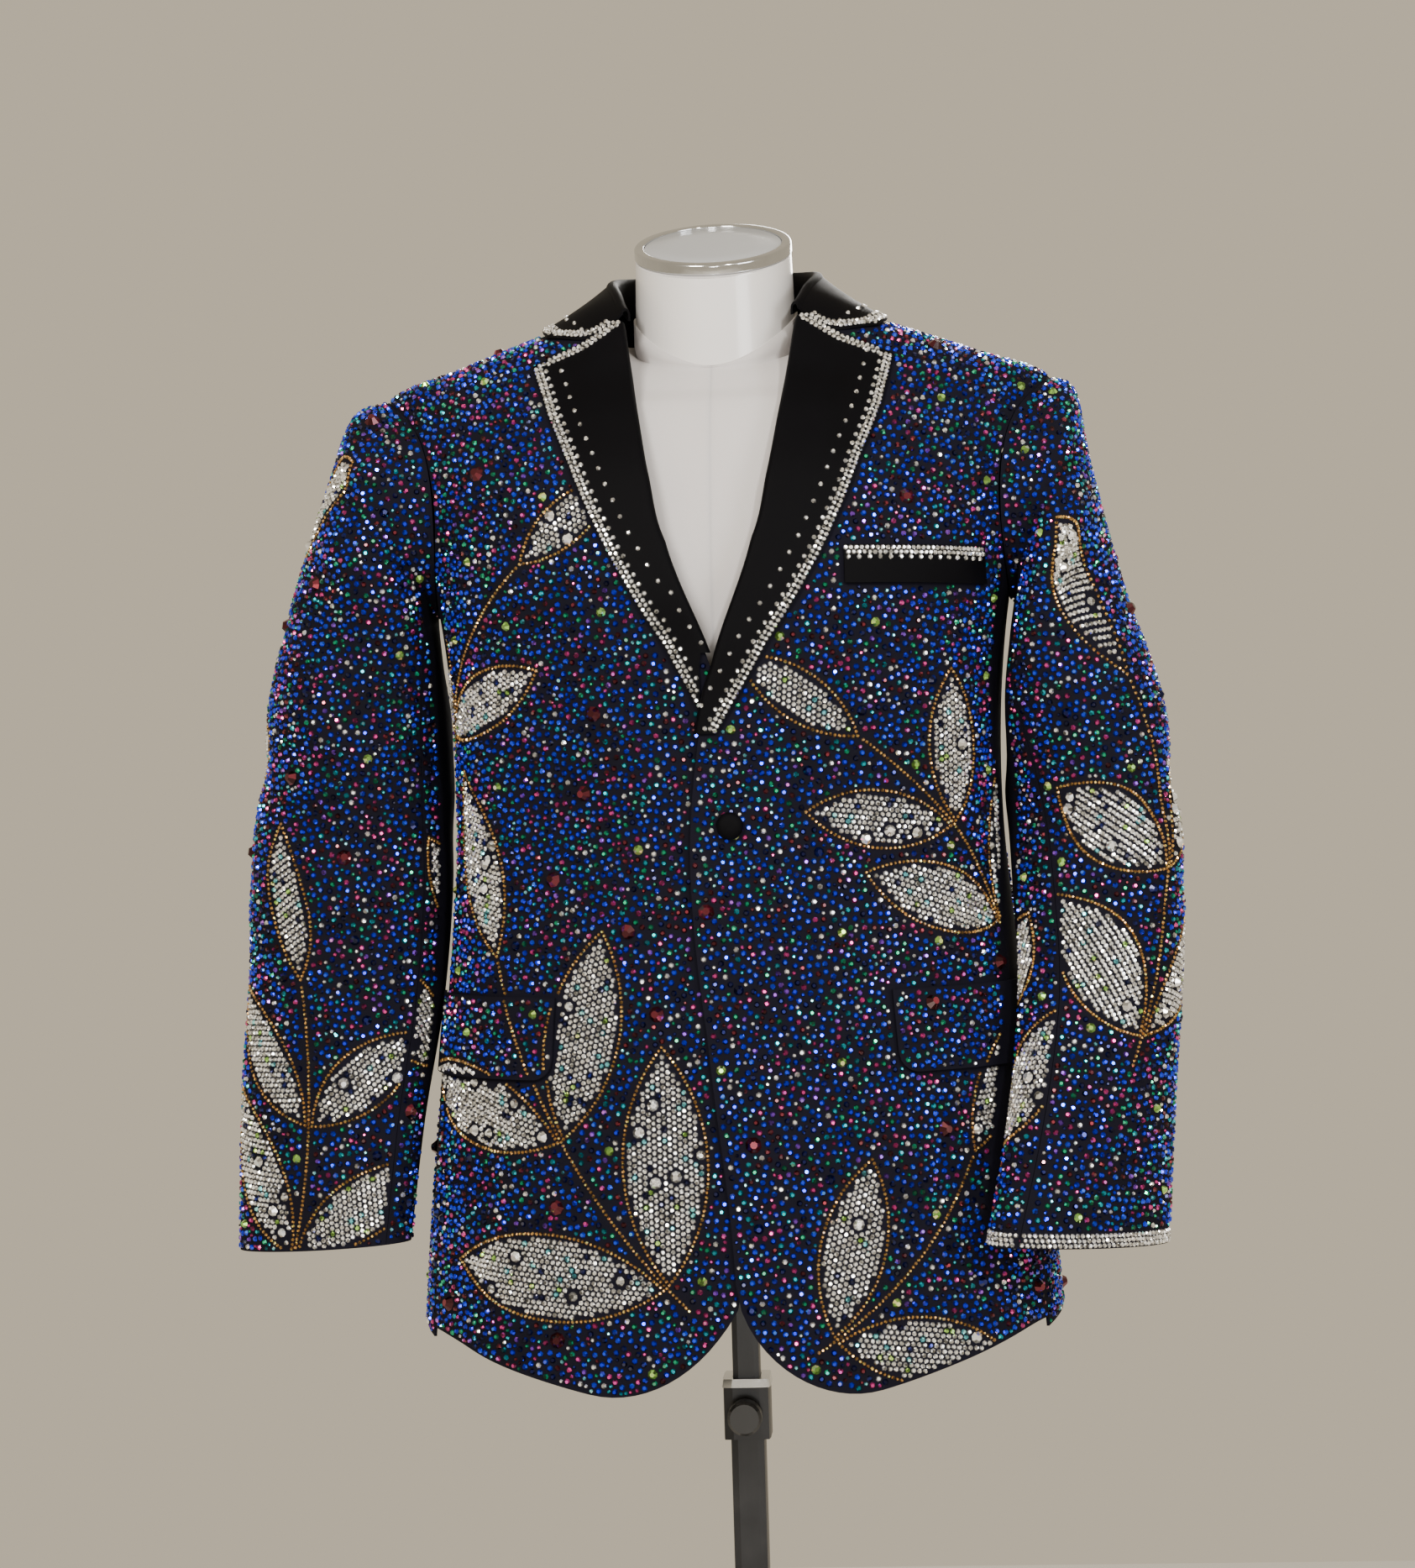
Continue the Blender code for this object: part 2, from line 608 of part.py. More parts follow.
def arm_loop(angle):
    """Armhole loop on the +X half; angle 0 is at the shoulder point and 90 degrees at the front."""
    height = ARM_MIDDLE + ARM_HALF_HEIGHT * np.cos(angle)
    reach = np.where(np.sin(angle) > 0, ARM_FRONT, ARM_BACK)
    y = -reach * np.sin(angle)
    row = np.minimum(body_row(height), SHOULDER_ROW)
    point = plain_body(angle_at_y(row, y), row)
    under = np.clip(-np.cos(angle), 0, 1)
    point[..., 0] += HEAD_OUT + 0.0012 * under
    point[..., 2] += HEAD_LIFT * under**2
    return point


def sleeve_ring(values, angle):
    """Ring of one row of the sleeve table."""
    size = named(SLEEVE_COLUMNS, values)
    outer = np.array([size["out_x"], size["out_y"], size["out_z"]])
    inner = np.array([size["in_x"], size["in_y"], size["in_z"]])
    long_half = (outer - inner) / 2
    along = unit(long_half)
    down = np.array([1.0, 0.0, 0.0])
    if abs(along[2]) < STEEP:
        down = np.array([0.0, 0.0, -1.0])
        down = unit(down - along * np.dot(down, along))
    across = unit(np.cross(along, down))
    across = across * np.sign(-across[1])
    cosine = np.cos(angle)[..., None]
    sine = np.sin(angle)[..., None]
    return (outer + inner) / 2 + long_half * cosine + across * size["thick"] * sine


def plain_sleeve(half, angle, row):
    """Point of the smooth sleeve surface in the half's own terms."""
    angle, row = np.broadcast_arrays(angle, row)
    rings = [arm_loop(angle)]
    rings += [sleeve_ring(values, angle) for values in SLEEVE_RINGS[half]]
    stack = np.stack(rings)
    slopes = np.gradient(stack, axis=0)
    place = np.clip(row, 0, len(rings) - 1)
    low = np.minimum(np.floor(place).astype(int), len(rings) - 2)
    part = (place - low)[..., None]
    start, end = pick(stack, low), pick(stack, low + 1)
    rise, fall = pick(slopes, low), pick(slopes, low + 1)
    square, cube = part**2, part**3
    return (
        (2 * cube - 3 * square + 1) * start
        + (cube - 2 * square + part) * rise
        + (3 * square - 2 * cube) * end
        + (cube - square) * fall
    )


def pick(stack, index):
    """Entry of each lattice point from the ring that index names."""
    return np.take_along_axis(stack, index[None, ..., None], axis=0)[0]


def sleeve_normal(half, angle, row):
    """Outward direction of the smooth sleeve surface."""
    last = len(SLEEVE_RINGS[half])
    around = plain_sleeve(half, angle + STEP, row) - plain_sleeve(half, angle - STEP, row)
    low = np.clip(row - STEP * 10, 0, last)
    high = np.clip(row + STEP * 10, 0, last)
    along = plain_sleeve(half, angle, high) - plain_sleeve(half, angle, low)
    return unit(np.cross(around, along))


def sleeve_point(half, angle, row, lift=0.0):
    """Point on one sleeve, lift metres outside the middle of its cloth."""
    angle, row, lift = np.broadcast_arrays(angle, row, lift)
    relief = folds(SLEEVE_FOLDS, half, angle, row)
    point = plain_sleeve(half, angle, row)
    point = point + sleeve_normal(half, angle, row) * (relief + lift)[..., None]
    return point * np.array([half, 1.0, 1.0])


def build_sleeve(half, name):
    """Top and under piece of one sleeve, joined along a front and a back seam."""
    last = len(SLEEVE_RINGS[half])
    rows = np.concatenate([SLEEVE_HEAD_ROWS, np.linspace(1, last, 2 * last - 1)])[:, None]
    back = BACK_SEAM_TOP + (BACK_SEAM_CUFF - BACK_SEAM_TOP) * rows / last
    gap = SLEEVE_SEAM_TURN
    spans = {
        "sleeve_top": (FRONT_SEAM - gap + 0 * rows, back + gap, TOP_SLEEVE_STEPS),
        "sleeve_under": (back - gap, FRONT_SEAM + gap - 2 * math.pi + 0 * rows, UNDER_SLEEVE_STEPS),
    }
    for piece, (start, end, steps) in spans.items():
        angles = start + (end - start) * np.linspace(0, 1, steps + 1)[None, :]

        def surface(lift, angles=angles):
            return sleeve_point(half, angles, rows, lift)

        add_cloth(f"{piece}_{name}", surface, STONED_CLOTH)
    for index, row in enumerate(CUFF_BUTTON_ROWS):
        place = np.array([CUFF_BUTTON_ANGLE]), np.array([row])
        seat = sleeve_point(half, *place, CLOTH / 2 + CUFF_BUTTON_LIFT)[0]
        away = sleeve_normal(half, *place)[0] * np.array([half, 1, 1])
        label = f"cuff_button_{name}_{index + 1}"
        add_button(label, seat, away, CUFF_BUTTON_RADIUS, CUFF_BUTTON_HEIGHT, CRYSTAL)


def build_lapel(half, name):
    """Lapel: it wraps the front's edge along the roll line and lies flat on the front."""
    upward = 1 - (1 - np.linspace(0, 1, LAPEL_LINES)[:, None]) ** CROWDED
    shares = np.array([LAPEL_SHARES])
    top = np.interp(shares, [0.0, GORGE_SHARE, 1.0], [ROLL_TOP, GORGE_TOP, LAPEL_TIP])
    low_roll, low_edge = LAPEL_BOTTOM[half]
    bottom = low_roll + (low_edge - low_roll) * shares
    height = bottom + (top - bottom) * upward
    rows = body_row(height)
    roll = at_height(FRONT_EDGE[half], height)
    edge = np.maximum(at_height(LAPEL_EDGE[half], height), roll + LAPEL_LEAST)
    start = roll + LAPEL_START
    angles = angle_at_x(rows, start + (edge - start) * shares)
    turn = np.radians(LAPEL_TURNS)
    wrap_rows = rows[:, :1] + 0 * turn
    wrap_height = height[:, :1] + 0 * turn

    def surface(lift):
        radius = CLOTH + LAPEL_BEND + lift
        x = at_height(FRONT_EDGE[half], wrap_height) - radius * np.cos(turn)
        wrapped = jacket_point(half, angle_at_x(wrap_rows, x), wrap_rows, radius * np.sin(turn))
        flat = jacket_point(half, angles, rows, LAYER_LIFT + lift)
        return np.concatenate([wrapped, flat], axis=1)

    add_cloth(f"lapel_{name}", surface, BLACK_SATIN)


def drape_height(x, y):
    """Height of the body surface over a point near the shoulders."""
    rows = np.linspace(SHOULDER_ROW - 1, NECK_ROW, 121)
    half = smooth(BODY_RINGS, BODY_COLUMNS, "half_width", rows)
    height = smooth(BODY_RINGS, BODY_COLUMNS, "height", rows)
    front = smooth(BODY_RINGS, BODY_COLUMNS, "front", rows)
    back = smooth(BODY_RINGS, BODY_COLUMNS, "back", rows)
    depth = np.where(np.asarray(y)[..., None] < 0, front, back)
    size = (np.abs(x)[..., None] / half) ** 2 + (np.abs(y)[..., None] / depth) ** 2
    inside = np.argmax(size >= 1.0, axis=-1)
    return height[inside]


def collar_path(row):
    """Middle line of the collar's section at a collar row: angles, radii and heights."""
    def value(name):
        return smooth(COLLAR_ROWS, COLLAR_COLUMNS, name, row)

    fold_radius, fold_height = value("fold_radius"), value("fold_height")
    seam_height, edge_radius = value("seam_height"), value("edge_radius")
    edge_height = value("edge_height")
    stand_radius = fold_radius - 2 * COLLAR_FOLD_RADIUS
    centre = fold_radius - COLLAR_FOLD_RADIUS
    bend = fold_height - COLLAR_FOLD_RADIUS
    radii = [stand_radius, stand_radius]
    heights = [seam_height, (seam_height + bend) / 2]
    for turn in (180, 135, 90, 45, 0):
        radii.append(centre + COLLAR_FOLD_RADIUS * math.cos(math.radians(turn)))
        heights.append(bend + COLLAR_FOLD_RADIUS * math.sin(math.radians(turn)))
    turns = [value("fold_angle")] * len(radii)
    for share in (0.25, 0.5, 0.75, 1.0):
        front = math.sin(math.pi * share) * max(0.0, 1 - row) ** 2
        radius = fold_radius + (edge_radius - fold_radius) * share
        turn = value("fold_angle") + (value("edge_angle") - value("fold_angle")) * share - GORGE_TURN * front
        x = radius * math.cos(math.radians(turn))
        y = COLLAR_CENTRE_Y + radius * math.sin(math.radians(turn))
        free = bend + (edge_height - bend) * share
        radii.append(radius)
        heights.append(max(float(free) - GORGE_DIP * front, float(drape_height(x, y)) + COLLAR_LIFT))
        turns.append(turn)
    return np.array(turns, dtype=float), np.array(radii, dtype=float), np.array(heights, dtype=float)


def collar_skin(row, side, lift):
    """Line across the collar at a collar row, lift metres outside its middle."""
    turns, radii, heights = collar_path(row)
    along = unit(np.stack([np.gradient(radii), np.gradient(heights)], axis=-1))
    radii = radii - along[:, 1] * lift
    heights = heights + along[:, 0] * lift
    angle = np.radians(turns)
    x = side * radii * np.cos(angle)
    y = COLLAR_CENTRE_Y + radii * np.sin(angle)
    return np.stack([x, y, heights], axis=-1)


def build_collar():
    """Collar: a stand inside the neckline that folds over into a fall on the shoulders."""
    last = len(COLLAR_ROWS) - 1
    steps = np.linspace(0, last, 2 * last + 1)

    def surface(lift):
        one = [collar_skin(row, +1, lift) for row in steps]
        other = [collar_skin(row, -1, lift) for row in steps[:-1][::-1]]
        return np.stack(one + other)

    add_cloth("collar", surface, BLACK_SATIN)


def build_patches(half, name):
    """Flap of a lower pocket, and on the left half the welt of the breast pocket."""
    down, along = (np.linspace(0, 1, count) for count in FLAP_LINES)
    row_top = body_row(FLAP_TOP)
    start = float(angle_at_x(row_top, FLAP_START))
    span = np.linspace(start, 0.0, 200)
    reach = np.linalg.norm(np.diff(plain_body(span, row_top + 0 * span), axis=0), axis=1)
    length = np.concatenate([[0.0], np.cumsum(reach)])
    places = FLAP_LENGTH * along**CROWDED
    angles = np.interp(places, length, span)[None, :]
    bottom = FLAP_TOP - FLAP_DEPTH + rounded(places, FLAP_CORNER, FLAP_CORNER)
    rows = body_row(FLAP_TOP + (bottom - FLAP_TOP)[None, :] * down[:, None])

    def flap(lift):
        return jacket_point(half, angles, rows, PATCH_LIFT + lift)

    add_cloth(f"flap_{name}", flap, STONED_CLOTH)
    if half < 0:
        return
    down, along = (np.linspace(0, 1, count) for count in WELT_LINES)
    x = WELT_START + (WELT_END - WELT_START) * along[None, :] ** WELT_CROWDED
    heights = WELT_TOP - WELT_DEPTH * down[:, None]
    rows_welt = body_row(heights + 0 * x)
    angles_welt = angle_at_x(rows_welt, x)

    def welt(lift):
        return jacket_point(half, angles_welt, rows_welt, PATCH_LIFT + lift)

    add_cloth("breast_welt", welt, BLACK_SATIN)


def turn_to(direction):
    """Two axes across a direction, and the direction itself."""
    along = unit(np.asarray(direction, dtype=float))
    helper = np.array([0.0, 0.0, 1.0]) if abs(along[2]) < 0.9 else np.array([1.0, 0.0, 0.0])
    first = unit(np.cross(helper, along))
    return first, np.cross(along, first), along


def add_turned(
    name, profile, finish, centre=(0, 0, 0), direction=(0, 0, 1), sides=24, square=2.0, closed=False
):
    """Solid turned around a direction from (radius, height) steps; square flattens its sides."""
    first, second, along = turn_to(direction)
    if tuple(direction) == (0, 0, 1):
        first, second = np.array([1.0, 0.0, 0.0]), np.array([0.0, 1.0, 0.0])
    turns = np.linspace(0, 2 * math.pi, sides, endpoint=False)
    reach = (np.abs(np.cos(turns)) ** square + np.abs(np.sin(turns)) ** square) ** (-1 / square)
    ring = reach[:, None] * (np.cos(turns)[:, None] * first + np.sin(turns)[:, None] * second)
    points, loops, faces = [], [], []
    for radius, height in profile:
        base = np.asarray(centre, dtype=float) + along * height
        if radius == 0:
            loops.append([len(points)])
            points.append(base)
        else:
            loops.append(list(range(len(points), len(points) + sides)))
            points.extend(base + ring * radius)
    pairs = list(zip(loops, loops[1:]))
    if closed:
        pairs.append((loops[-1], loops[0]))
    for low, high in pairs:
        for index in range(sides):
            after = (index + 1) % sides
            corners = [low[index % len(low)], low[after % len(low)]]
            corners += [high[after % len(high)], high[index % len(high)]]
            faces.append(tuple(dict.fromkeys(corners)))
    return add_solid(name, points, faces, finish)


def add_button(name, seat, away, radius, height, finish):
    """Covered button: a low dome with a rounded rim."""
    profile = (
        (0, 0),
        (radius * 0.80, 0),
        (radius, height * 0.35),
        (radius * 0.92, height * 0.68),
        (radius * 0.60, height * 0.93),
        (0, height),
    )
    add_turned(name, profile, finish, seat, away, sides=14)


def build_front_button():
    """Button on the upper front, where the two fronts lap."""
    row = body_row(FRONT_BUTTON_Z)
    angle = angle_at_x(row, FRONT_BUTTON_X)
    place = np.array([angle]), np.array([row])
    seat = jacket_point(+1, *place, CLOTH / 2 + LAYER_GAP)[0]
    away = body_normal(*place)[0]
    add_button("front_button", seat, away, FRONT_BUTTON_RADIUS, FRONT_BUTTON_HEIGHT, BLACK_SATIN)


def shoulder_height(x):
    """Height of the shoulder line of the cloth at this distance from the middle."""
    rows = np.linspace(SHOULDER_ROW, NECK_ROW, 61)
    half = smooth(BODY_RINGS, BODY_COLUMNS, "half_width", rows)
    height = smooth(BODY_RINGS, BODY_COLUMNS, "height", rows)
    return float(np.interp(x, half[::-1], height[::-1]))


def level_ring(turns, height, half_width, front, back, rise, squareness):
    """Ring around the form whose sides rise above its front and back."""
    cosine, sine = np.cos(turns), np.sin(turns)
    x = half_width * power(cosine, 2 / squareness)
    y = -np.where(sine > 0, front, back) * power(sine, 2 / squareness)
    return np.stack([x, y, height + rise * np.abs(cosine) ** 2], axis=-1)


def neck_ring(turns, scale, height, slope):
    """Ring around the neck on a plane that rises towards the back."""
    x = NECK_RADIUS_X * scale * np.cos(turns)
    y = -NECK_RADIUS_Y * scale * np.sin(turns)
    return np.stack([x, y, height + slope * y], axis=-1)


def build_form():
    """Torso of the dress form, its neck block and the tilted cap on it."""
    turns = np.linspace(0, 2 * math.pi, 32, endpoint=False)
    rings = [level_ring(turns, **named(FORM_COLUMNS, values)) for values in FORM_RINGS]
    base = neck_ring(turns, 1.0, NECK_BASE_HEIGHT, NECK_BASE_SLOPE)
    last = named(FORM_COLUMNS, FORM_RINGS[-1])
    front, back = last["front"] - TOP_INSET, last["back"] - TOP_INSET
    for share in TOP_SHARES:
        half = FORM_SHOULDER_X + (NECK_RADIUS_X - FORM_SHOULDER_X) * share
        rise = shoulder_height(half) - FORM_SHOULDER_DROP
        ring = level_ring(turns, last["height"] + TOP_RISE, half, front, back, 0, 2.0)
        ring = ring + (base - ring) * share * np.array([0.0, 0.8, share])
        side = np.abs(np.cos(turns)) ** 4
        ring[:, 2] += (rise - ring[0, 2]) * side
        rings.append(ring)
    rings.append(base)
    add_loft("torso", rings, COVERED_FORM)

    lift = np.array([0.0, 0.0, SEAM_GAP])
    neck = [base + lift]
    for share in NECK_SHARES:
        slope = NECK_BASE_SLOPE + (math.tan(CAP_TILT) - NECK_BASE_SLOPE) * share
        level = NECK_BASE_HEIGHT + (NECK_TOP_HEIGHT - NECK_BASE_HEIGHT) * share
        ring = neck_ring(turns, 1.0 - NECK_TAPER * share, level, slope)
        neck.append(ring + lift + np.array([0.0, CAP_CENTRE_Y * share, 0.0]))
    add_loft("neck_block", neck, GLOSS_WHITE)

    lean = np.array([0.0, -math.sin(CAP_TILT), math.cos(CAP_TILT)])
    seat = np.array([0.0, CAP_CENTRE_Y, NECK_TOP_HEIGHT + SEAM_GAP]) + lean * CAP_SPACE
    inner = CAP_RADIUS - CAP_RIM
    rim = ((CAP_RADIUS, 0.0), (CAP_RADIUS, CAP_HEIGHT * 0.7), (CAP_RADIUS - BEVEL, CAP_HEIGHT))
    rim += ((inner, CAP_HEIGHT), (inner, 0.0))
    add_turned("neck_rim", rim, CHROME, seat, lean, sides=28, closed=True)
    inner -= SEAM_GAP
    plate = ((0, 0.0), (inner, 0.0), (inner, CAP_HEIGHT - 0.001), (0, CAP_HEIGHT - 0.001))
    add_turned("neck_cap", plate, GLOSS_WHITE, seat, lean, sides=28)


def add_loft(name, rings, finish):
    """Closed solid through rings of equal count, with flat ends."""
    count = len(rings[0])
    points = np.concatenate(rings)
    faces = [tuple(range(count)), tuple(range(len(points) - count, len(points)))]
    for level in range(len(rings) - 1):
        for index in range(count):
            after = (index + 1) % count
            low = level * count
            faces.append((low + index, low + after, low + count + after, low + count + index))
    return add_solid(name, points, faces, finish)


def build_stand():
    """Base, outer tube, clamp with its screw knob, and the inner pole that carries the form."""
    inside = BASE_RADIUS - BASE_BEVEL
    plate = ((0, 0), (inside, 0), (BASE_RADIUS, BASE_BEVEL), (BASE_RADIUS, BASE_THICKNESS - BASE_BEVEL))
    plate += ((inside, BASE_THICKNESS), (0, BASE_THICKNESS))
    add_turned("base_plate", plate, BLACK_METAL, sides=36)

    floor = BASE_THICKNESS + SEAM_GAP
    tube_bore = TUBE_HALF - TUBE_WALL
    tube = ((TUBE_HALF, floor), (TUBE_HALF, TUBE_TOP), (tube_bore, TUBE_TOP), (tube_bore, floor))
    add_turned("pole_tube", tube, BLACK_METAL, square=SQUARE, closed=True)

    hole = (TUBE_HALF + SEAM_GAP) * math.sqrt(2)
    foot = ((FOOT_RADIUS, floor), (FOOT_RADIUS, floor + FOOT_HEIGHT * 0.6))
    foot += ((FOOT_RADIUS * 0.85, floor + FOOT_HEIGHT), (hole, floor + FOOT_HEIGHT), (hole, floor))
    add_turned("pole_foot", foot, BLACK_METAL, closed=True)

    top = FORM_RINGS[0][0] - SEAM_GAP
    bore = POLE_HALF - POLE_WALL
    pole = ((POLE_HALF, POLE_BOTTOM), (POLE_HALF, top), (bore, top), (bore, POLE_BOTTOM))
    add_turned("pole_slide", pole, BLACK_METAL, square=SQUARE, closed=True)

    wide = TUBE_HALF + SEAM_GAP
    narrow = POLE_HALF + SEAM_GAP
    ledge = TUBE_TOP + SEAM_GAP
    collar_top = CLAMP_TOP - CLAMP_BAND_HEIGHT - SEAM_GAP
    clamp = ((wide, CLAMP_BOTTOM), (CLAMP_HALF, CLAMP_BOTTOM), (CLAMP_HALF, collar_top))
    clamp += ((narrow, collar_top), (narrow, ledge), (wide, ledge))
    add_turned("clamp_body", clamp, BLACK_METAL, square=SQUARE, closed=True)
    band = ((narrow, collar_top + SEAM_GAP), (CLAMP_HALF + 0.001, collar_top + SEAM_GAP))
    band += ((CLAMP_HALF, CLAMP_TOP), (narrow, CLAMP_TOP))
    add_turned("clamp_band", band, CHROME, square=SQUARE, closed=True)

    face = (0.0, -(CLAMP_HALF + SEAM_GAP), KNOB_HEIGHT)
    toward = (0, -1, 0)
    boss_bore = SCREW_RADIUS + SEAM_GAP
    boss = ((BOSS_RADIUS, 0.0), (BOSS_RADIUS, BOSS_LENGTH - BEVEL), (BOSS_RADIUS - BEVEL, BOSS_LENGTH))
    boss += ((boss_bore, BOSS_LENGTH), (boss_bore, 0.0))
    add_turned("clamp_boss", boss, CHROME, face, toward, closed=True)
    seat = BOSS_LENGTH + SEAM_GAP
    knob = ((0, 0.0), (SCREW_RADIUS, 0.0), (SCREW_RADIUS, seat), (KNOB_RADIUS * 0.75, seat))
    knob += ((KNOB_RADIUS, seat + BEVEL), (KNOB_RADIUS, seat + KNOB_LENGTH - BEVEL))
    knob += ((KNOB_RADIUS - BEVEL, seat + KNOB_LENGTH), (0, seat + KNOB_LENGTH))
    add_turned("clamp_knob", knob, BLACK_METAL, face, toward)


def main():
    """Build the whole part in an empty scene."""
    for thing in list(bpy.data.objects):
        bpy.data.objects.remove(thing, do_unlink=True)
    for name, half in HALVES.items():
        build_body(half, name)
        build_sleeve(half, name)
        build_lapel(half, name)
        build_patches(half, name)
    build_collar()
    build_front_button()
    build_form()
    build_stand()


main()
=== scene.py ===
"""Rhinestone jacket on a dress form: cloth shells, faceted stones, trims, form, stand and studio.

Units are metres, +Z is up and the jacket's front faces -Y. The cloth's forms repeat the sizes of the
part's own source, on finer lattices and with finer creases. The wearer's left is at +X.
"""

import logging
import math
from collections.abc import Callable, Sequence
from dataclasses import dataclass
from enum import Enum
from functools import partial

import bmesh
import bpy
import numpy as np
from mathutils import Matrix, Vector
from mathutils.bvhtree import BVHTree
from mathutils.geometry import barycentric_transform
from mathutils.kdtree import KDTree


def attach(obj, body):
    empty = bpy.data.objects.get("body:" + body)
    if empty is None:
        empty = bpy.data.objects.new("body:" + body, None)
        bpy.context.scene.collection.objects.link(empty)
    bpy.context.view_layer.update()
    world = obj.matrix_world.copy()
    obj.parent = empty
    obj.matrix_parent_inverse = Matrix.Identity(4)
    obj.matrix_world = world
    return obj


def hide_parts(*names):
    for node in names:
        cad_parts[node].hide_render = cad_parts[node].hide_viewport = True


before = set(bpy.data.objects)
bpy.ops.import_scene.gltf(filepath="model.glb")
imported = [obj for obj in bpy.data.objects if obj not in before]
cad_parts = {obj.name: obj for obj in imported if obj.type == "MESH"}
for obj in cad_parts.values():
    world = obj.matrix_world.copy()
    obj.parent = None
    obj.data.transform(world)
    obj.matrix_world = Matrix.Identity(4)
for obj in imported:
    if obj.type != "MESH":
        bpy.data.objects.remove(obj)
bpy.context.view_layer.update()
LOG = logging.getLogger("jacket")

Array = np.ndarray
Table = tuple[tuple[float, ...], ...]
Colour = tuple[float, float, float]

CLOTH = 0.0020            # thickness of one wall of cloth
SEAM_GAP = 0.0003         # space between two pieces that are sewn edge to edge
LAYER_LIFT = 0.0028       # height of a piece that lies on a panel
PATCH_LIFT = 0.0033       # height of a flap or welt
STEP = 1e-4               # step of the finite differences
HALVES = {"left": +1, "right": -1}


class Side(Enum):
    """Borders of a sheet's lattice."""

    FIRST_COLUMN = "first column"
    LAST_COLUMN = "last column"
    FIRST_ROW = "first row"
    LAST_ROW = "last row"


def unit(vectors: Array) -> Array:
    """Vectors scaled to length 1."""
    return vectors / np.maximum(np.linalg.norm(vectors, axis=-1, keepdims=True), 1e-12)


def power(value: Array, exponent: Array | float) -> Array:
    """Power of the size of value that keeps its sign."""
    return np.sign(value) * np.abs(value) ** exponent


def hermite(part: Array, low: Array, high: Array, low_slope: Array, high_slope: Array) -> Array:
    """Cubic curve from low to high that leaves and arrives with the given slopes."""
    square, cube = part**2, part**3
    return (
        (2 * cube - 3 * square + 1) * low
        + (cube - 2 * square + part) * low_slope
        + (3 * square - 2 * cube) * high
        + (cube - square) * high_slope
    )


def smooth_rows(values: Array, place: Array) -> Array:
    """Cubic curve through values at fractional rows, with slopes from neighbouring rows.

    Args:
        values: one entry for each row, along the first axis.
        place: fractional rows.

    Returns:
        The curve's values there.
    """
    slopes = np.gradient(values, axis=0)
    place = np.clip(np.asarray(place, dtype=float), 0, len(values) - 1)
    low = np.minimum(np.floor(place).astype(int), len(values) - 2)
    part = (place - low).reshape(place.shape + (1,) * (values.ndim - 1))
    return hermite(part, values[low], values[low + 1], slopes[low], slopes[low + 1])


def bilinear(table: Array, row: Array, column: Array) -> Array:
    """Bilinear mix of a table at fractional rows and columns."""
    r, c = np.floor(row).astype(int), np.floor(column).astype(int)
    down, along = row - r, column - c
    near = table[r, c] * (1 - along) + table[r, c + 1] * along
    far = table[r + 1, c] * (1 - along) + table[r + 1, c + 1] * along
    return near * (1 - down) + far * down


def run_length(points: Array) -> Array:
    """Length along a line of points, from its first one."""
    return np.concatenate([[0.0], np.cumsum(np.linalg.norm(np.diff(points, axis=0), axis=-1))])


def row_lengths(lattice: Array) -> Array:
    """Length along each row of a lattice, from its first column."""
    steps = np.linalg.norm(np.diff(lattice, axis=1), axis=-1)
    return np.concatenate([np.zeros((len(lattice), 1)), np.cumsum(steps, axis=1)], axis=1)


def quads(rows: int, columns: int) -> Array:
    """Corners of the four-sided faces of a lattice."""
    grid = np.arange(rows * columns).reshape(rows, columns)
    return np.stack([grid[:-1, :-1], grid[:-1, 1:], grid[1:, 1:], grid[1:, :-1]], axis=-1).reshape(-1, 4)


def ring_faces(levels: int, count: int) -> Array:
    """Corners of the four-sided faces between closed rings."""
    grid = np.arange(levels * count).reshape(levels, count)
    after = np.roll(grid, -1, axis=1)
    return np.stack([grid[:-1], after[:-1], after[1:], grid[1:]], axis=-1).reshape(-1, 4)


def search_tree(points: Array) -> KDTree:
    """Balanced search tree of points."""
    tree = KDTree(len(points))
    for index, point in enumerate(points):
        tree.insert(point, index)
    tree.balance()
    return tree


def corner_vertices(mesh: bpy.types.Mesh) -> Array:
    """Vertex of each face corner."""
    corners = np.empty(len(mesh.loops), dtype=np.int32)
    mesh.loops.foreach_get("vertex_index", corners)
    return corners


def map_cloth(mesh: bpy.types.Mesh, places: Array) -> None:
    """UV map of the lengths on the flat cloth, from each vertex's place."""
    corners = places[corner_vertices(mesh)].astype(np.float32).ravel()
    mesh.uv_layers.new(name="cloth").data.foreach_set("uv", corners)


def paint_facets(mesh: bpy.types.Mesh, sizes: Array, colours: Array) -> None:
    """Colour attribute with one colour for each face, laid on its corners."""
    layer = mesh.color_attributes.new(name="facet_colour_and_painted_glint", type="FLOAT_COLOR", domain="CORNER")
    solid = np.concatenate([np.repeat(colours, sizes, axis=0), np.ones((int(sizes.sum()), 1))], axis=1)
    layer.data.foreach_set("color", solid.astype(np.float32).ravel())


def edge_at(table: Table, height: Array) -> Array:
    """Distance that an edge table of (height, distance) rows gives at this height."""
    rows = np.array(table)
    return smooth_rows(rows[:, 1], np.interp(height, rows[:, 0], np.arange(len(rows))))


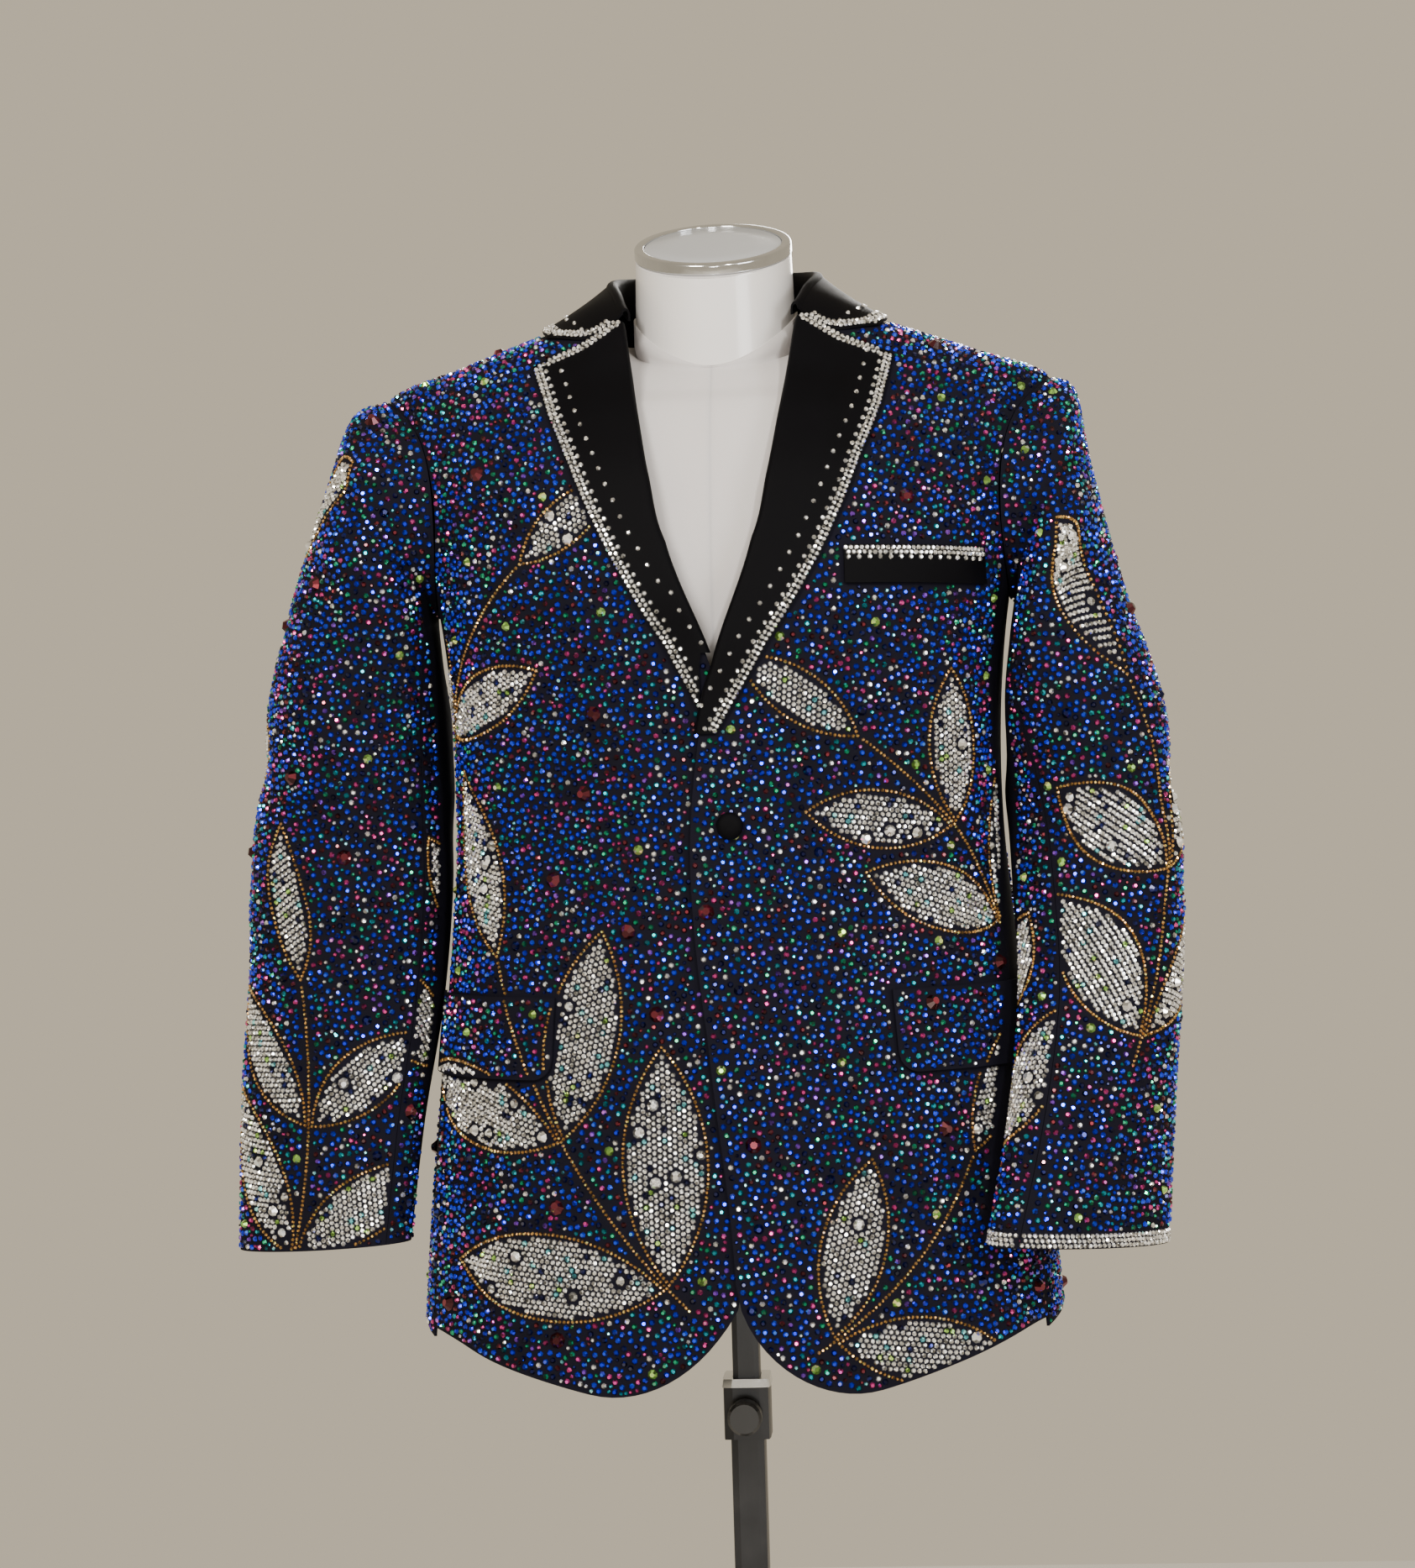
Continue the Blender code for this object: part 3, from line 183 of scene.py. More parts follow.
def bumps(table: Table, half: int, angle: Array, row: Array) -> Array:
    """Sum of soft folds: each is depth * exp(-(across^2 + along^2)), leaned by its last value.

    Args:
        table: rows of half, angle, row, reach in angle, reach in rows, depth and lean.
        half: +1 or -1.
        angle: angles of the places.
        row: rows of the places.

    Returns:
        Height of the folds at each place.
    """
    total = np.zeros(np.broadcast(angle, row).shape)
    for side, middle, level, wide, tall, depth, lean in table:
        if side == half:
            along = (row - level) / tall
            across = (angle - middle - lean * (row - level)) / wide
            total = total + depth * np.exp(-(across**2 + along**2))
    return total


@dataclass(frozen=True)
class BodyForm:
    """Form of the jacket's body, as rings from the hem to the neck."""

    rings: Table = (
        (0.690, 0.235, 0.150, 0.152, 2.35),
        (0.800, 0.226, 0.148, 0.149, 2.35),
        (0.920, 0.215, 0.144, 0.142, 2.35),
        (1.020, 0.204, 0.138, 0.131, 2.35),
        (1.100, 0.198, 0.136, 0.125, 2.35),
        (1.180, 0.199, 0.141, 0.127, 2.35),
        (1.260, 0.208, 0.145, 0.132, 2.30),
        (1.330, 0.226, 0.131, 0.130, 2.25),
        (1.380, 0.240, 0.107, 0.119, 2.15),
        (1.412, 0.241, 0.085, 0.104, 2.05),
        (1.432, 0.190, 0.076, 0.092, 2.00),
        (1.452, 0.134, 0.069, 0.082, 2.00),
        (1.472, 0.076, 0.061, 0.073, 2.00),
    )
    folds: Table = (
        (+1, 1.10, 3.7, 0.18, 0.8, -0.0045, 0.0),
        (+1, 0.62, 4.4, 0.18, 0.9, 0.0045, 0.0),
        (-1, 1.05, 3.9, 0.18, 0.9, -0.0050, 0.0),
        (-1, 0.58, 4.6, 0.18, 0.9, 0.0045, 0.0),
        (+1, 0.75, 0.2, 0.22, 0.9, 0.0050, 0.0),
        (-1, 0.85, 0.2, 0.22, 0.9, 0.0055, 0.0),
        (+1, -0.85, 1.0, 0.22, 1.6, -0.0060, 0.0),
        (-1, -0.80, 1.2, 0.22, 1.6, -0.0060, 0.0),
        (+1, -1.20, 4.2, 0.20, 0.8, -0.0050, 0.0),
        (-1, -1.15, 4.0, 0.20, 0.8, -0.0050, 0.0),
    )
    creases: Table = (
        (+1, 1.16, 4.35, 0.09, 0.40, -0.0016, 0.20),
        (+1, 0.90, 3.30, 0.08, 0.55, -0.0015, -0.12),
        (+1, 0.52, 6.60, 0.07, 0.80, -0.0020, 0.05),
        (+1, 0.40, 5.60, 0.06, 0.70, 0.0014, 0.04),
        (+1, 0.80, 1.40, 0.10, 0.90, -0.0018, 0.05),
        (-1, 1.12, 4.45, 0.09, 0.40, -0.0016, 0.22),
        (-1, 0.84, 3.20, 0.08, 0.55, -0.0016, -0.14),
        (-1, 0.50, 6.50, 0.07, 0.80, -0.0021, 0.06),
        (-1, 0.38, 5.50, 0.06, 0.70, 0.0014, 0.05),
        (-1, 0.70, 1.30, 0.10, 0.90, -0.0019, 0.04),
        (+1, -0.45, 6.40, 0.08, 0.90, -0.0022, -0.05),
        (+1, -0.95, 5.80, 0.12, 0.35, 0.0016, 0.10),
        (+1, -0.55, 3.40, 0.08, 0.50, -0.0018, 0.14),
        (+1, -1.35, 2.20, 0.10, 0.80, 0.0016, 0.02),
        (-1, -0.48, 6.50, 0.08, 0.90, -0.0022, -0.05),
        (-1, -1.00, 5.70, 0.12, 0.35, 0.0015, 0.12),
        (-1, -0.60, 3.30, 0.08, 0.50, -0.0018, 0.12),
        (-1, -1.30, 2.00, 0.10, 0.80, 0.0015, 0.03),
    )
    lap_shift: float = 0.0022
    lap_full: float = 0.020
    lap_width: float = 0.050
    lap_top: float = 1.255
    lap_rise: float = 0.5
    shoulder_row: float = 9.0
    neck_row: float = 12.0

    def column(self, index: int, row: Array) -> Array:
        """Column of the rings at fractional rows."""
        return smooth_rows(np.array(self.rings)[:, index], row)

    def height(self, row: Array) -> Array:
        """Height of the ring at row."""
        return self.column(0, row)

    def row_at(self, height: Array | float) -> Array:
        """Fractional row at this height."""
        rows = np.linspace(0, self.neck_row, 481)
        return np.interp(height, self.height(rows), rows)

    def sizes(self, angle: Array | float, row: Array) -> tuple[Array, Array, Array]:
        """Half width, depth on the side where angle lies, and squareness of the ring."""
        depth = np.where(np.asarray(angle) >= 0, self.column(2, row), self.column(3, row))
        return self.column(1, row), depth, self.column(4, row)

    def plain(self, angle: Array, row: Array) -> Array:
        """Smooth surface on the +X half: a superellipse ring, from the side (0) to the front (pi/2)."""
        half, depth, square = self.sizes(angle, row)
        x = half * power(np.cos(angle), 2 / square)
        y = -depth * power(np.sin(angle), 2 / square)
        return np.stack([x, y, self.height(row) + 0 * x], axis=-1)

    def angle_at_x(self, row: Array, x: Array) -> Array:
        """Angle where the ring passes this x on its front."""
        half, _, square = self.sizes(1.0, row)
        return np.arccos(np.clip(power(x / half, square / 2), -1, 1))

    def angle_at_y(self, row: Array, y: Array) -> Array:
        """Angle where the ring passes this y."""
        _, depth, square = self.sizes(-np.asarray(y, dtype=float), row)
        return np.arcsin(np.clip(power(-y / depth, square / 2), -1, 1))

    def normal(self, angle: Array, row: Array) -> Array:
        """Outward direction of the smooth surface, by finite differences."""
        across = self.plain(angle + STEP, row) - self.plain(angle - STEP, row)
        low = np.clip(row - STEP * 10, 0, self.neck_row)
        high = np.clip(row + STEP * 10, 0, self.neck_row)
        return unit(np.cross(self.plain(angle, high) - self.plain(angle, low), across))

    def lap(self, half: int, x: Array, row: Array) -> Array:
        """Shift of a front where it passes over or under the other front."""
        near = np.clip(1 - (np.abs(x) - self.lap_full) / self.lap_width, 0, 1)
        below = np.clip((self.row_at(self.lap_top) - row) / self.lap_rise, 0, 1)
        return half * self.lap_shift * near**2 * (3 - 2 * near) * below**2 * (3 - 2 * below)

    def point(self, half: int, angle: Array, row: Array, lift: Array | float = 0.0) -> Array:
        """Point of the cloth on one half, lift metres outside its middle, with folds and creases."""
        angle, row, lift = np.broadcast_arrays(angle, row, lift)
        point = self.plain(angle, row)
        fade = np.clip((self.shoulder_row - row) / 2, 0, 1)
        relief = (bumps(self.folds, half, angle, row) + bumps(self.creases, half, angle, row)) * fade
        relief = relief + np.where(angle > 0, self.lap(half, point[..., 0], row), 0.0)
        point = point + self.normal(angle, row) * (relief + lift)[..., None]
        return point * np.array([half, 1.0, 1.0])

    def flat(self, half: int, angle: Array, row: Array) -> Array:
        """Place on the unrolled cloth: length round the ring from the middle of the front, height."""
        turns = np.linspace(math.pi / 2, -math.pi / 2, 241)
        rows = np.linspace(0, self.neck_row, 121)
        length = row_lengths(self.plain(turns[None, :], rows[:, None]))
        across = bilinear(length, np.clip(row / self.neck_row * 120, 0, 119.999),
                          np.clip((math.pi / 2 - angle) / math.pi * 240, 0, 239.999))
        return np.stack([half * across, self.height(row) + 0 * across], axis=-1)


@dataclass(frozen=True)
class Armhole:
    """Upright loop on each side of the body, and the side seams that lead up to it."""

    top: float = 1.412
    bottom: float = 1.252
    front: float = 0.068
    back: float = 0.074
    share: float = 0.68
    turn: float = 0.38
    flare: float = 0.016
    hem_side: float = 0.742
    head_lift: float = 0.0016
    head_out: float = 0.0011

    @property
    def middle(self) -> float:
        """Height of the loop's middle."""
        return (self.top + self.bottom) / 2

    @property
    def half(self) -> float:
        """Half of the loop's height."""
        return (self.top - self.bottom) / 2

    def corner(self) -> float:
        """Height where the side seams meet the loop."""
        return self.middle - self.half * math.sqrt(1 - self.share**2)

    def distance(self, form: BodyForm, row: Array, back: bool) -> Array:
        """Distance of a panel's side border from the side line: side seam, then armhole."""
        height = form.height(row)
        reach = self.back if back else self.front
        flare = self.flare * np.clip((self.bottom - height) / (self.bottom - self.hem_side), 0, 1)
        share = np.clip((height - self.middle) / self.half, -1, 1)
        loop = reach * np.sqrt(1 - share**2)
        return np.where(height > self.middle, loop, np.maximum(reach * self.share + flare, loop))

    def loop(self, form: BodyForm, angle: Array) -> Array:
        """Point of the loop where a sleeve starts; angle 0 is the shoulder point, 90 degrees the front."""
        height = self.middle + self.half * np.cos(angle)
        y = -np.where(np.sin(angle) > 0, self.front, self.back) * np.sin(angle)
        row = np.minimum(form.row_at(height), form.shoulder_row)
        point = form.plain(form.angle_at_y(row, y), row)
        under = np.clip(-np.cos(angle), 0, 1)
        point[..., 0] += self.head_out + 0.0012 * under
        point[..., 2] += self.head_lift * under**2
        return point


@dataclass(frozen=True)
class SleeveForm:
    """Form of one sleeve: rings with an outer point, an inner point and half a thickness."""

    half: int
    rings: Table
    body: BodyForm
    arm: Armhole
    folds: Table = (
        (+1, 1.35, 2.3, 0.55, 0.30, 0.0060, 0.0),
        (+1, 1.25, 2.9, 0.60, 0.28, -0.0050, 0.0),
        (+1, 1.45, 3.6, 0.60, 0.28, 0.0065, 0.0),
        (+1, 0.20, 4.6, 0.70, 0.30, -0.0045, 0.0),
        (+1, 1.10, 5.1, 0.70, 0.30, 0.0050, 0.0),
        (-1, 1.30, 2.2, 0.55, 0.30, 0.0060, 0.0),
        (-1, 1.20, 2.8, 0.60, 0.28, -0.0050, 0.0),
        (-1, 1.40, 3.7, 0.60, 0.28, 0.0065, 0.0),
        (-1, 0.30, 4.4, 0.70, 0.30, -0.0045, 0.0),
        (-1, 1.20, 5.2, 0.70, 0.30, 0.0050, 0.0),
        (+1, -2.60, 3.9, 0.70, 0.35, 0.0020, 0.0),
        (-1, -2.60, 3.8, 0.70, 0.35, 0.0020, 0.0),
    )
    creases: Table = (
        (+1, 1.00, 1.6, 0.40, 0.16, -0.0022, 0.10),
        (+1, 1.70, 4.1, 0.50, 0.14, 0.0020, 0.15),
        (+1, 0.70, 3.3, 0.45, 0.14, -0.0020, -0.20),
        (+1, 1.90, 4.6, 0.45, 0.13, -0.0020, 0.20),
        (+1, 0.30, 5.7, 0.55, 0.18, 0.0016, -0.10),
        (+1, -1.30, 3.2, 0.45, 0.16, -0.0020, 0.15),
        (+1, -1.60, 4.5, 0.50, 0.15, 0.0018, -0.10),
        (+1, 0.10, 0.5, 0.10, 0.35, -0.0010, 0.0),
        (+1, -0.50, 0.6, 0.12, 0.35, -0.0010, 0.0),
        (-1, 0.95, 1.7, 0.40, 0.16, -0.0022, 0.12),
        (-1, 1.60, 4.2, 0.50, 0.14, 0.0020, 0.15),
        (-1, 0.60, 3.2, 0.45, 0.14, -0.0020, -0.18),
        (-1, 1.80, 4.7, 0.45, 0.13, -0.0020, 0.20),
        (-1, 0.25, 5.6, 0.55, 0.18, 0.0016, -0.12),
        (-1, -1.25, 3.3, 0.45, 0.16, -0.0020, 0.15),
        (-1, -1.55, 4.6, 0.50, 0.15, 0.0018, -0.10),
        (-1, 0.15, 0.5, 0.10, 0.35, -0.0010, 0.0),
        (-1, -0.45, 0.6, 0.12, 0.35, -0.0010, 0.0),
    )
    steep: float = 0.70

    def ring(self, values: Sequence[float], angle: Array) -> Array:
        """Ellipse through the outer and inner points of a table row, as thick as the row says."""
        outer, inner, thick = np.array(values[:3]), np.array(values[3:6]), values[6]
        long_half = (outer - inner) / 2
        along = unit(long_half)
        down = np.array([1.0, 0.0, 0.0])
        if abs(along[2]) < self.steep:
            down = np.array([0.0, 0.0, -1.0])
            down = unit(down - along * np.dot(down, along))
        across = unit(np.cross(along, down))
        across = across * np.sign(-across[1])
        ahead = across * thick * np.sin(angle)[..., None]
        return (outer + inner) / 2 + long_half * np.cos(angle)[..., None] + ahead

    def plain(self, angle: Array, row: Array) -> Array:
        """Smooth surface: a cubic curve along the rings at each angle."""
        angle, row = np.broadcast_arrays(angle, row)
        stack = np.stack([self.arm.loop(self.body, angle)] + [self.ring(v, angle) for v in self.rings])
        slopes = np.gradient(stack, axis=0)
        place = np.clip(row, 0, len(stack) - 1)
        low = np.minimum(np.floor(place).astype(int), len(stack) - 2)

        def pick(source: Array, index: Array) -> Array:
            """Entry of each place from the ring that index names."""
            return np.take_along_axis(source, index[None, ..., None], axis=0)[0]

        return hermite((place - low)[..., None], pick(stack, low), pick(stack, low + 1),
                       pick(slopes, low), pick(slopes, low + 1))

    def normal(self, angle: Array, row: Array) -> Array:
        """Outward direction of the smooth surface."""
        last = len(self.rings)
        around = self.plain(angle + STEP, row) - self.plain(angle - STEP, row)
        low, high = np.clip(row - STEP * 10, 0, last), np.clip(row + STEP * 10, 0, last)
        return unit(np.cross(around, self.plain(angle, high) - self.plain(angle, low)))

    def point(self, angle: Array, row: Array, lift: Array | float = 0.0) -> Array:
        """Point of the cloth, lift metres outside its middle, with folds and creases."""
        angle, row, lift = np.broadcast_arrays(angle, row, lift)
        relief = bumps(self.folds, self.half, angle, row) + bumps(self.creases, self.half, angle, row)
        point = self.plain(angle, row) + self.normal(angle, row) * (relief + lift)[..., None]
        return point * np.array([self.half, 1.0, 1.0])

    def flat(self, angle: Array, row: Array) -> Array:
        """Place on the unrolled sleeve: length round from its outer line, and length down from the top."""
        angle, row = np.broadcast_arrays(angle, row)
        last = len(self.rings)
        turns = np.linspace(-2 * math.pi, 2 * math.pi, 401)
        rows = np.linspace(0, last, 81)
        tube = self.plain(turns[None, :], rows[:, None])
        length = row_lengths(tube)
        length -= length[:, 200:201]
        down = run_length((tube[:, 200] + tube[:, 300]) / 2)
        across = bilinear(length, np.clip(row / last * 80, 0, 79.999),
                          np.clip((angle + 2 * math.pi) / (4 * math.pi) * 400, 0, 399.999))
        return np.stack([across, -np.interp(row, rows, down)], axis=-1)


class Sheet:
    """Wall of cloth between an outer and an inner lattice, with its place on the flat cloth."""

    def __init__(self, name: str, skin: Callable[[float], Array], flat: Array, thick: float = CLOTH) -> None:
        """Lay the lattice.

        Args:
            name: name of the piece.
            skin: gives the lattice of points at a lift from the middle of the cloth.
            flat: place of each lattice point on the flat cloth, in metres.
            thick: thickness of the wall.
        """
        self.name = name
        self.outer = skin(thick / 2)
        self.inner = skin(-thick / 2)
        self.flat = flat
        down = np.gradient(self.outer, axis=0)
        along = np.gradient(self.outer, axis=1)
        normals = unit(np.cross(down, along))
        turn = np.sign(np.sum(normals * (self.outer - self.inner), axis=-1, keepdims=True).mean())
        self.normals = normals * turn
        self.object: bpy.types.Object | None = None

    def build(self, finish: bpy.types.Material) -> bpy.types.Object:
        """Make the closed wall: two skins and a rim, with the flat cloth as its UV map."""
        rows, columns = self.outer.shape[:2]
        count = rows * columns
        grid = np.arange(count).reshape(rows, columns)
        front = quads(rows, columns)
        back = front[:, [0, 3, 2, 1]] + count
        rim = np.concatenate([grid[0, :-1], grid[:-1, -1], grid[-1, :0:-1], grid[:0:-1, 0]])
        after = np.roll(rim, -1)
        edge = np.stack([rim, rim + count, after + count, after], axis=-1)
        faces = np.concatenate([front, back, edge])
        points = np.concatenate([self.outer.reshape(-1, 3), self.inner.reshape(-1, 3)])
        mesh = bpy.data.meshes.new(self.name)
        mesh.from_pydata(points.tolist(), [], faces.tolist())
        shape = bmesh.new()
        shape.from_mesh(mesh)
        bmesh.ops.recalc_face_normals(shape, faces=shape.faces)
        shape.to_mesh(mesh)
        shape.free()
        map_cloth(mesh, np.concatenate([self.flat.reshape(-1, 2)] * 2))
        mesh.shade_smooth()
        mesh.set_sharp_from_angle(angle=math.radians(50))
        self.object = add_piece(self.name, mesh, finish)
        return self.object

    def tree(self) -> BVHTree:
        """Search tree of the two skins."""
        rows, columns = self.outer.shape[:2]
        faces = np.concatenate([quads(rows, columns), quads(rows, columns) + rows * columns])
        points = np.concatenate([self.outer.reshape(-1, 3), self.inner.reshape(-1, 3)])
        return BVHTree.FromPolygons(points.tolist(), faces.tolist())

    def spread(self, each: float, chance: np.random.Generator) -> tuple[Array, Array, Array]:
        """Random places on the outer skin, even by area: each is picked in a cell, then mixed bilinearly.

        Args:
            each: area for one place, in square metres.
            chance: seeded random numbers.

        Returns:
            Points, directions and places on the flat cloth.
        """
        p = self.outer
        area = np.linalg.norm(np.cross(p[1:, 1:] - p[:-1, :-1], p[1:, :-1] - p[:-1, 1:]), axis=-1) / 2
        total = np.cumsum(area.ravel())
        count = int(total[-1] / each)
        cell = np.searchsorted(total, chance.random(count) * total[-1])
        r, c = np.divmod(np.minimum(cell, len(total) - 1), area.shape[1])
        fr, fc = chance.random((2, count, 1))

        def mixed(values: Array) -> Array:
            """Bilinear mix of a lattice's values."""
            low = values[r, c] * (1 - fc) + values[r, c + 1] * fc
            return low * (1 - fr) + (values[r + 1, c] * (1 - fc) + values[r + 1, c + 1] * fc) * fr

        return mixed(self.outer), unit(mixed(self.normals)), mixed(self.flat)

    def place(self, flat: Array) -> tuple[Array, Array, Array]:
        """Points and directions of places on the flat cloth, and which of them lie on this sheet."""
        four = quads(*self.outer.shape[:2])
        faces = np.concatenate([four[:, [0, 1, 2]], four[:, [0, 2, 3]]])
        level = np.pad(self.flat.reshape(-1, 2), ((0, 0), (0, 1)))
        tree = BVHTree.FromPolygons(level.tolist(), faces.tolist())
        corners = [Vector(v) for v in level]
        points = [Vector(v) for v in self.outer.reshape(-1, 3)]
        normals = [Vector(v) for v in self.normals.reshape(-1, 3)]
        where, facing, inside = [], [], []
        for index, (x, z) in enumerate(flat):
            spot, _, face, _ = tree.find_nearest((x, z, 0.0), 2e-5)
            if face is None:
                continue
            i, j, k = faces[face]
            source = corners[i], corners[j], corners[k]
            where.append(barycentric_transform(spot, *source, points[i], points[j], points[k]))
            facing.append(barycentric_transform(spot, *source, normals[i], normals[j], normals[k]))
            inside.append(index)
        if not inside:
            return np.zeros((0, 3)), np.zeros((0, 3)), np.zeros(0, dtype=int)
        return np.array(where), unit(np.array(facing)), np.array(inside)

    def parallel(self, side: Side, away: float, spacing: float, first: float = 0.0,
                 ends: tuple[float, float] = (0.0, 0.0)) -> tuple[Array, Array]:
        """Evenly spaced places on a line that runs beside a border.

        Args:
            side: the border.
            away: distance of the line from it.
            spacing: distance between two places.
            first: distance of the first place from the line's start, as a share of the spacing.
            ends: lengths left free at the start and the end of the line.

        Returns:
            Points and directions.
        """
        points, normals = self.outer, self.normals
        if side in (Side.FIRST_ROW, Side.LAST_ROW):
            points, normals = points.transpose(1, 0, 2), normals.transpose(1, 0, 2)
        if side in (Side.LAST_COLUMN, Side.LAST_ROW):
            points, normals = points[:, ::-1], normals[:, ::-1]
        steps = np.linalg.norm(np.diff(points, axis=1), axis=-1)
        slant = np.cross(unit(np.gradient(points[:, 0], axis=0)), unit(points[:, 2] - points[:, 0]))
        steps = steps * np.maximum(np.linalg.norm(slant, axis=-1), 0.3)[:, None]
        inward = np.concatenate([np.zeros((len(steps), 1)), np.cumsum(steps, axis=1)], axis=1)
        wide = inward[:, -1] > away
        points, normals, inward = points[wide], normals[wide], inward[wide]
        if len(points) < 2:
            return np.zeros((0, 3)), np.zeros((0, 3))
        low = np.argmax(inward > away, axis=1) - 1
        line = np.arange(len(points))
        share = ((away - inward[line, low]) / (inward[line, low + 1] - inward[line, low]))[:, None]
        path = points[line, low] * (1 - share) + points[line, low + 1] * share
        facing = normals[line, low] * (1 - share) + normals[line, low + 1] * share
        run = run_length(path)
        spots = np.arange(ends[0] + first * spacing, run[-1] - ends[1], spacing)
        where = np.stack([np.interp(spots, run, path[:, k]) for k in range(3)], axis=-1)
        return where, unit(np.stack([np.interp(spots, run, facing[:, k]) for k in range(3)], axis=-1))

    def border(self, spacing: float = 0.0012) -> Array:
        """Points along the whole border of the outer skin."""
        return np.concatenate([self.parallel(side, 0.0, spacing)[0] for side in Side])


def add_piece(name: str, mesh: bpy.types.Mesh, finish: bpy.types.Material) -> bpy.types.Object:
    """Object at the origin for a mesh, with its material."""
    mesh.materials.append(finish)
    piece = bpy.data.objects.new(name, mesh)
    bpy.context.scene.collection.objects.link(piece)
    return piece


def operator(operation: str, swapped: bool = False) -> Callable[..., "Value"]:
    """Method that adds one Math node, with its values swapped for a reflected form."""

    def method(self: "Value", other: "Value | float" = 0.0) -> "Value":
        """Output of the Math node."""
        first, second = (other, self) if swapped else (self, other)
        return self.pen.value(self.pen.node("ShaderNodeMath", {"operation": operation}, {0: first, 1: second}))

    return method


@dataclass(frozen=True)
class Value:
    """Socket of a material with the arithmetic operators, each of which adds one Math node."""

    pen: "Pen"
    socket: bpy.types.NodeSocket

    __add__ = __radd__ = operator("ADD")
    __mul__ = __rmul__ = operator("MULTIPLY")
    __sub__, __rsub__ = operator("SUBTRACT"), operator("SUBTRACT", True)
    __truediv__, __rtruediv__ = operator("DIVIDE"), operator("DIVIDE", True)
    __pow__ = operator("POWER")
    size, wave = operator("ABSOLUTE"), operator("SINE")


class Pen:
    """Draws the nodes of one material."""

    def __init__(self, name: str) -> None:
        """Start an empty material."""
        self.material = bpy.data.materials.new(name)
        self.material.use_nodes = True
        self.tree = self.material.node_tree
        self.tree.nodes.clear()

    def node(self, kind: str, settings: dict | None = None, inputs: dict | None = None) -> bpy.types.Node:
        """Add a node.

        Args:
            kind: the node's type.
            settings: its own settings, set before its sockets.
            inputs: a value or a link for each named or numbered socket.

        Returns:
            The node.
        """
        made = self.tree.nodes.new(kind)
        for key, setting in (settings or {}).items():
            setattr(made, key, setting)
        for key, value in (inputs or {}).items():
            socket = made.inputs[key]
            if isinstance(value, Value):
                self.tree.links.new(value.socket, socket)
            elif isinstance(value, tuple) and len(value) == 3 and socket.type == "RGBA":
                socket.default_value = (*value, 1.0)
            else:
                socket.default_value = value
        return made

    def value(self, node: bpy.types.Node, output: str | int = 0) -> Value:
        """Output of a node."""
        return Value(self, node.outputs[output])

    def place(self) -> Value:
        """Object coordinates."""
        return self.value(self.node("ShaderNodeTexCoord"), "Object")

    def cloth(self) -> tuple[Value, Value]:
        """The two lengths on the flat cloth, from the piece's own map."""
        place = self.value(self.node("ShaderNodeUVMap", {"uv_map": "cloth"}))
        parts = self.node("ShaderNodeSeparateXYZ", None, {0: place})
        return self.value(parts, 0), self.value(parts, 1)

    def noise(self, scale: float, detail: float = 3.0, place: Value | None = None) -> Value:
        """Soft noise with this many cells a metre."""
        inputs = {"Vector": place or self.place(), "Scale": scale, "Detail": detail}
        return self.value(self.node("ShaderNodeTexNoise", None, inputs), 0)

    def blend(self, share: Value, low: Colour | Value, high: Colour | Value) -> Value:
        """Mix of two colours."""
        return self.value(self.node("ShaderNodeMix", {"data_type": "RGBA"}, {0: share, 6: low, 7: high}), 2)

    def bump(self, height: Value, distance: float, strength: float = 1.0) -> Value:
        """Normal from a height."""
        inputs = {"Height": height, "Distance": distance, "Strength": strength}
        return self.value(self.node("ShaderNodeBump", None, inputs))

    def close(self, **sockets: "Value | float | Colour") -> bpy.types.Material:
        """End in a Principled shader; underscores in the names stand for spaces."""
        inputs = {key.replace("_", " "): value for key, value in sockets.items()}
        shader = self.node("ShaderNodeBsdfPrincipled", None, inputs)
        self.node("ShaderNodeOutputMaterial", None, {"Surface": self.value(shader)})
        return self.material


@dataclass(frozen=True)
class StonedCloth:
    """Dark navy cloth that shows between the stones, with a plain weave."""

    thread: float = 0.00055
    dark: Colour = (0.0020, 0.0018, 0.0050)
    light: Colour = (0.0060, 0.0055, 0.0130)

    def make(self) -> bpy.types.Material:
        """Weave height is the product of two sines along the flat cloth."""
        pen = Pen("navy_ground")
        across, along = pen.cloth()
        turn = 2 * math.pi / self.thread / 2
        weave = (across * turn).wave() * (along * turn).wave()
        worn = pen.noise(35.0)
        colour = pen.blend(worn * 0.7 + weave * 0.15, self.dark, self.light)
        normal = pen.bump(weave, 0.00012, 0.6)
        return pen.close(Base_Color=colour, Roughness=0.78 + worn * 0.12, Normal=normal, Specular_IOR_Level=0.12)


@dataclass(frozen=True)
class SatinCloth:
    """Black satin of the lapels and collar: a fine slanting twill with a soft sheen."""

    thread: float = 0.0006
    dark: Colour = (0.0008, 0.0007, 0.0011)
    light: Colour = (0.0022, 0.0020, 0.0030)

    def make(self) -> bpy.types.Material:
        """Twill height is a sine of the sum of both lengths on the flat cloth."""
        pen = Pen("black_satin_cloth")
        across, along = pen.cloth()
        twill = ((across + along * 1.6) * (2 * math.pi / self.thread)).wave()
        cloud = pen.noise(28.0, 4.0)
        colour = pen.blend(cloud * 0.8 + twill * 0.1, self.dark, self.light)
        normal = pen.bump(twill * 0.3 + cloud, 0.00010, 0.5)
        return pen.close(Base_Color=colour, Roughness=0.46 + cloud * 0.18, Normal=normal, Specular_IOR_Level=0.05,
                         Sheen_Weight=0.01, Sheen_Roughness=0.4)


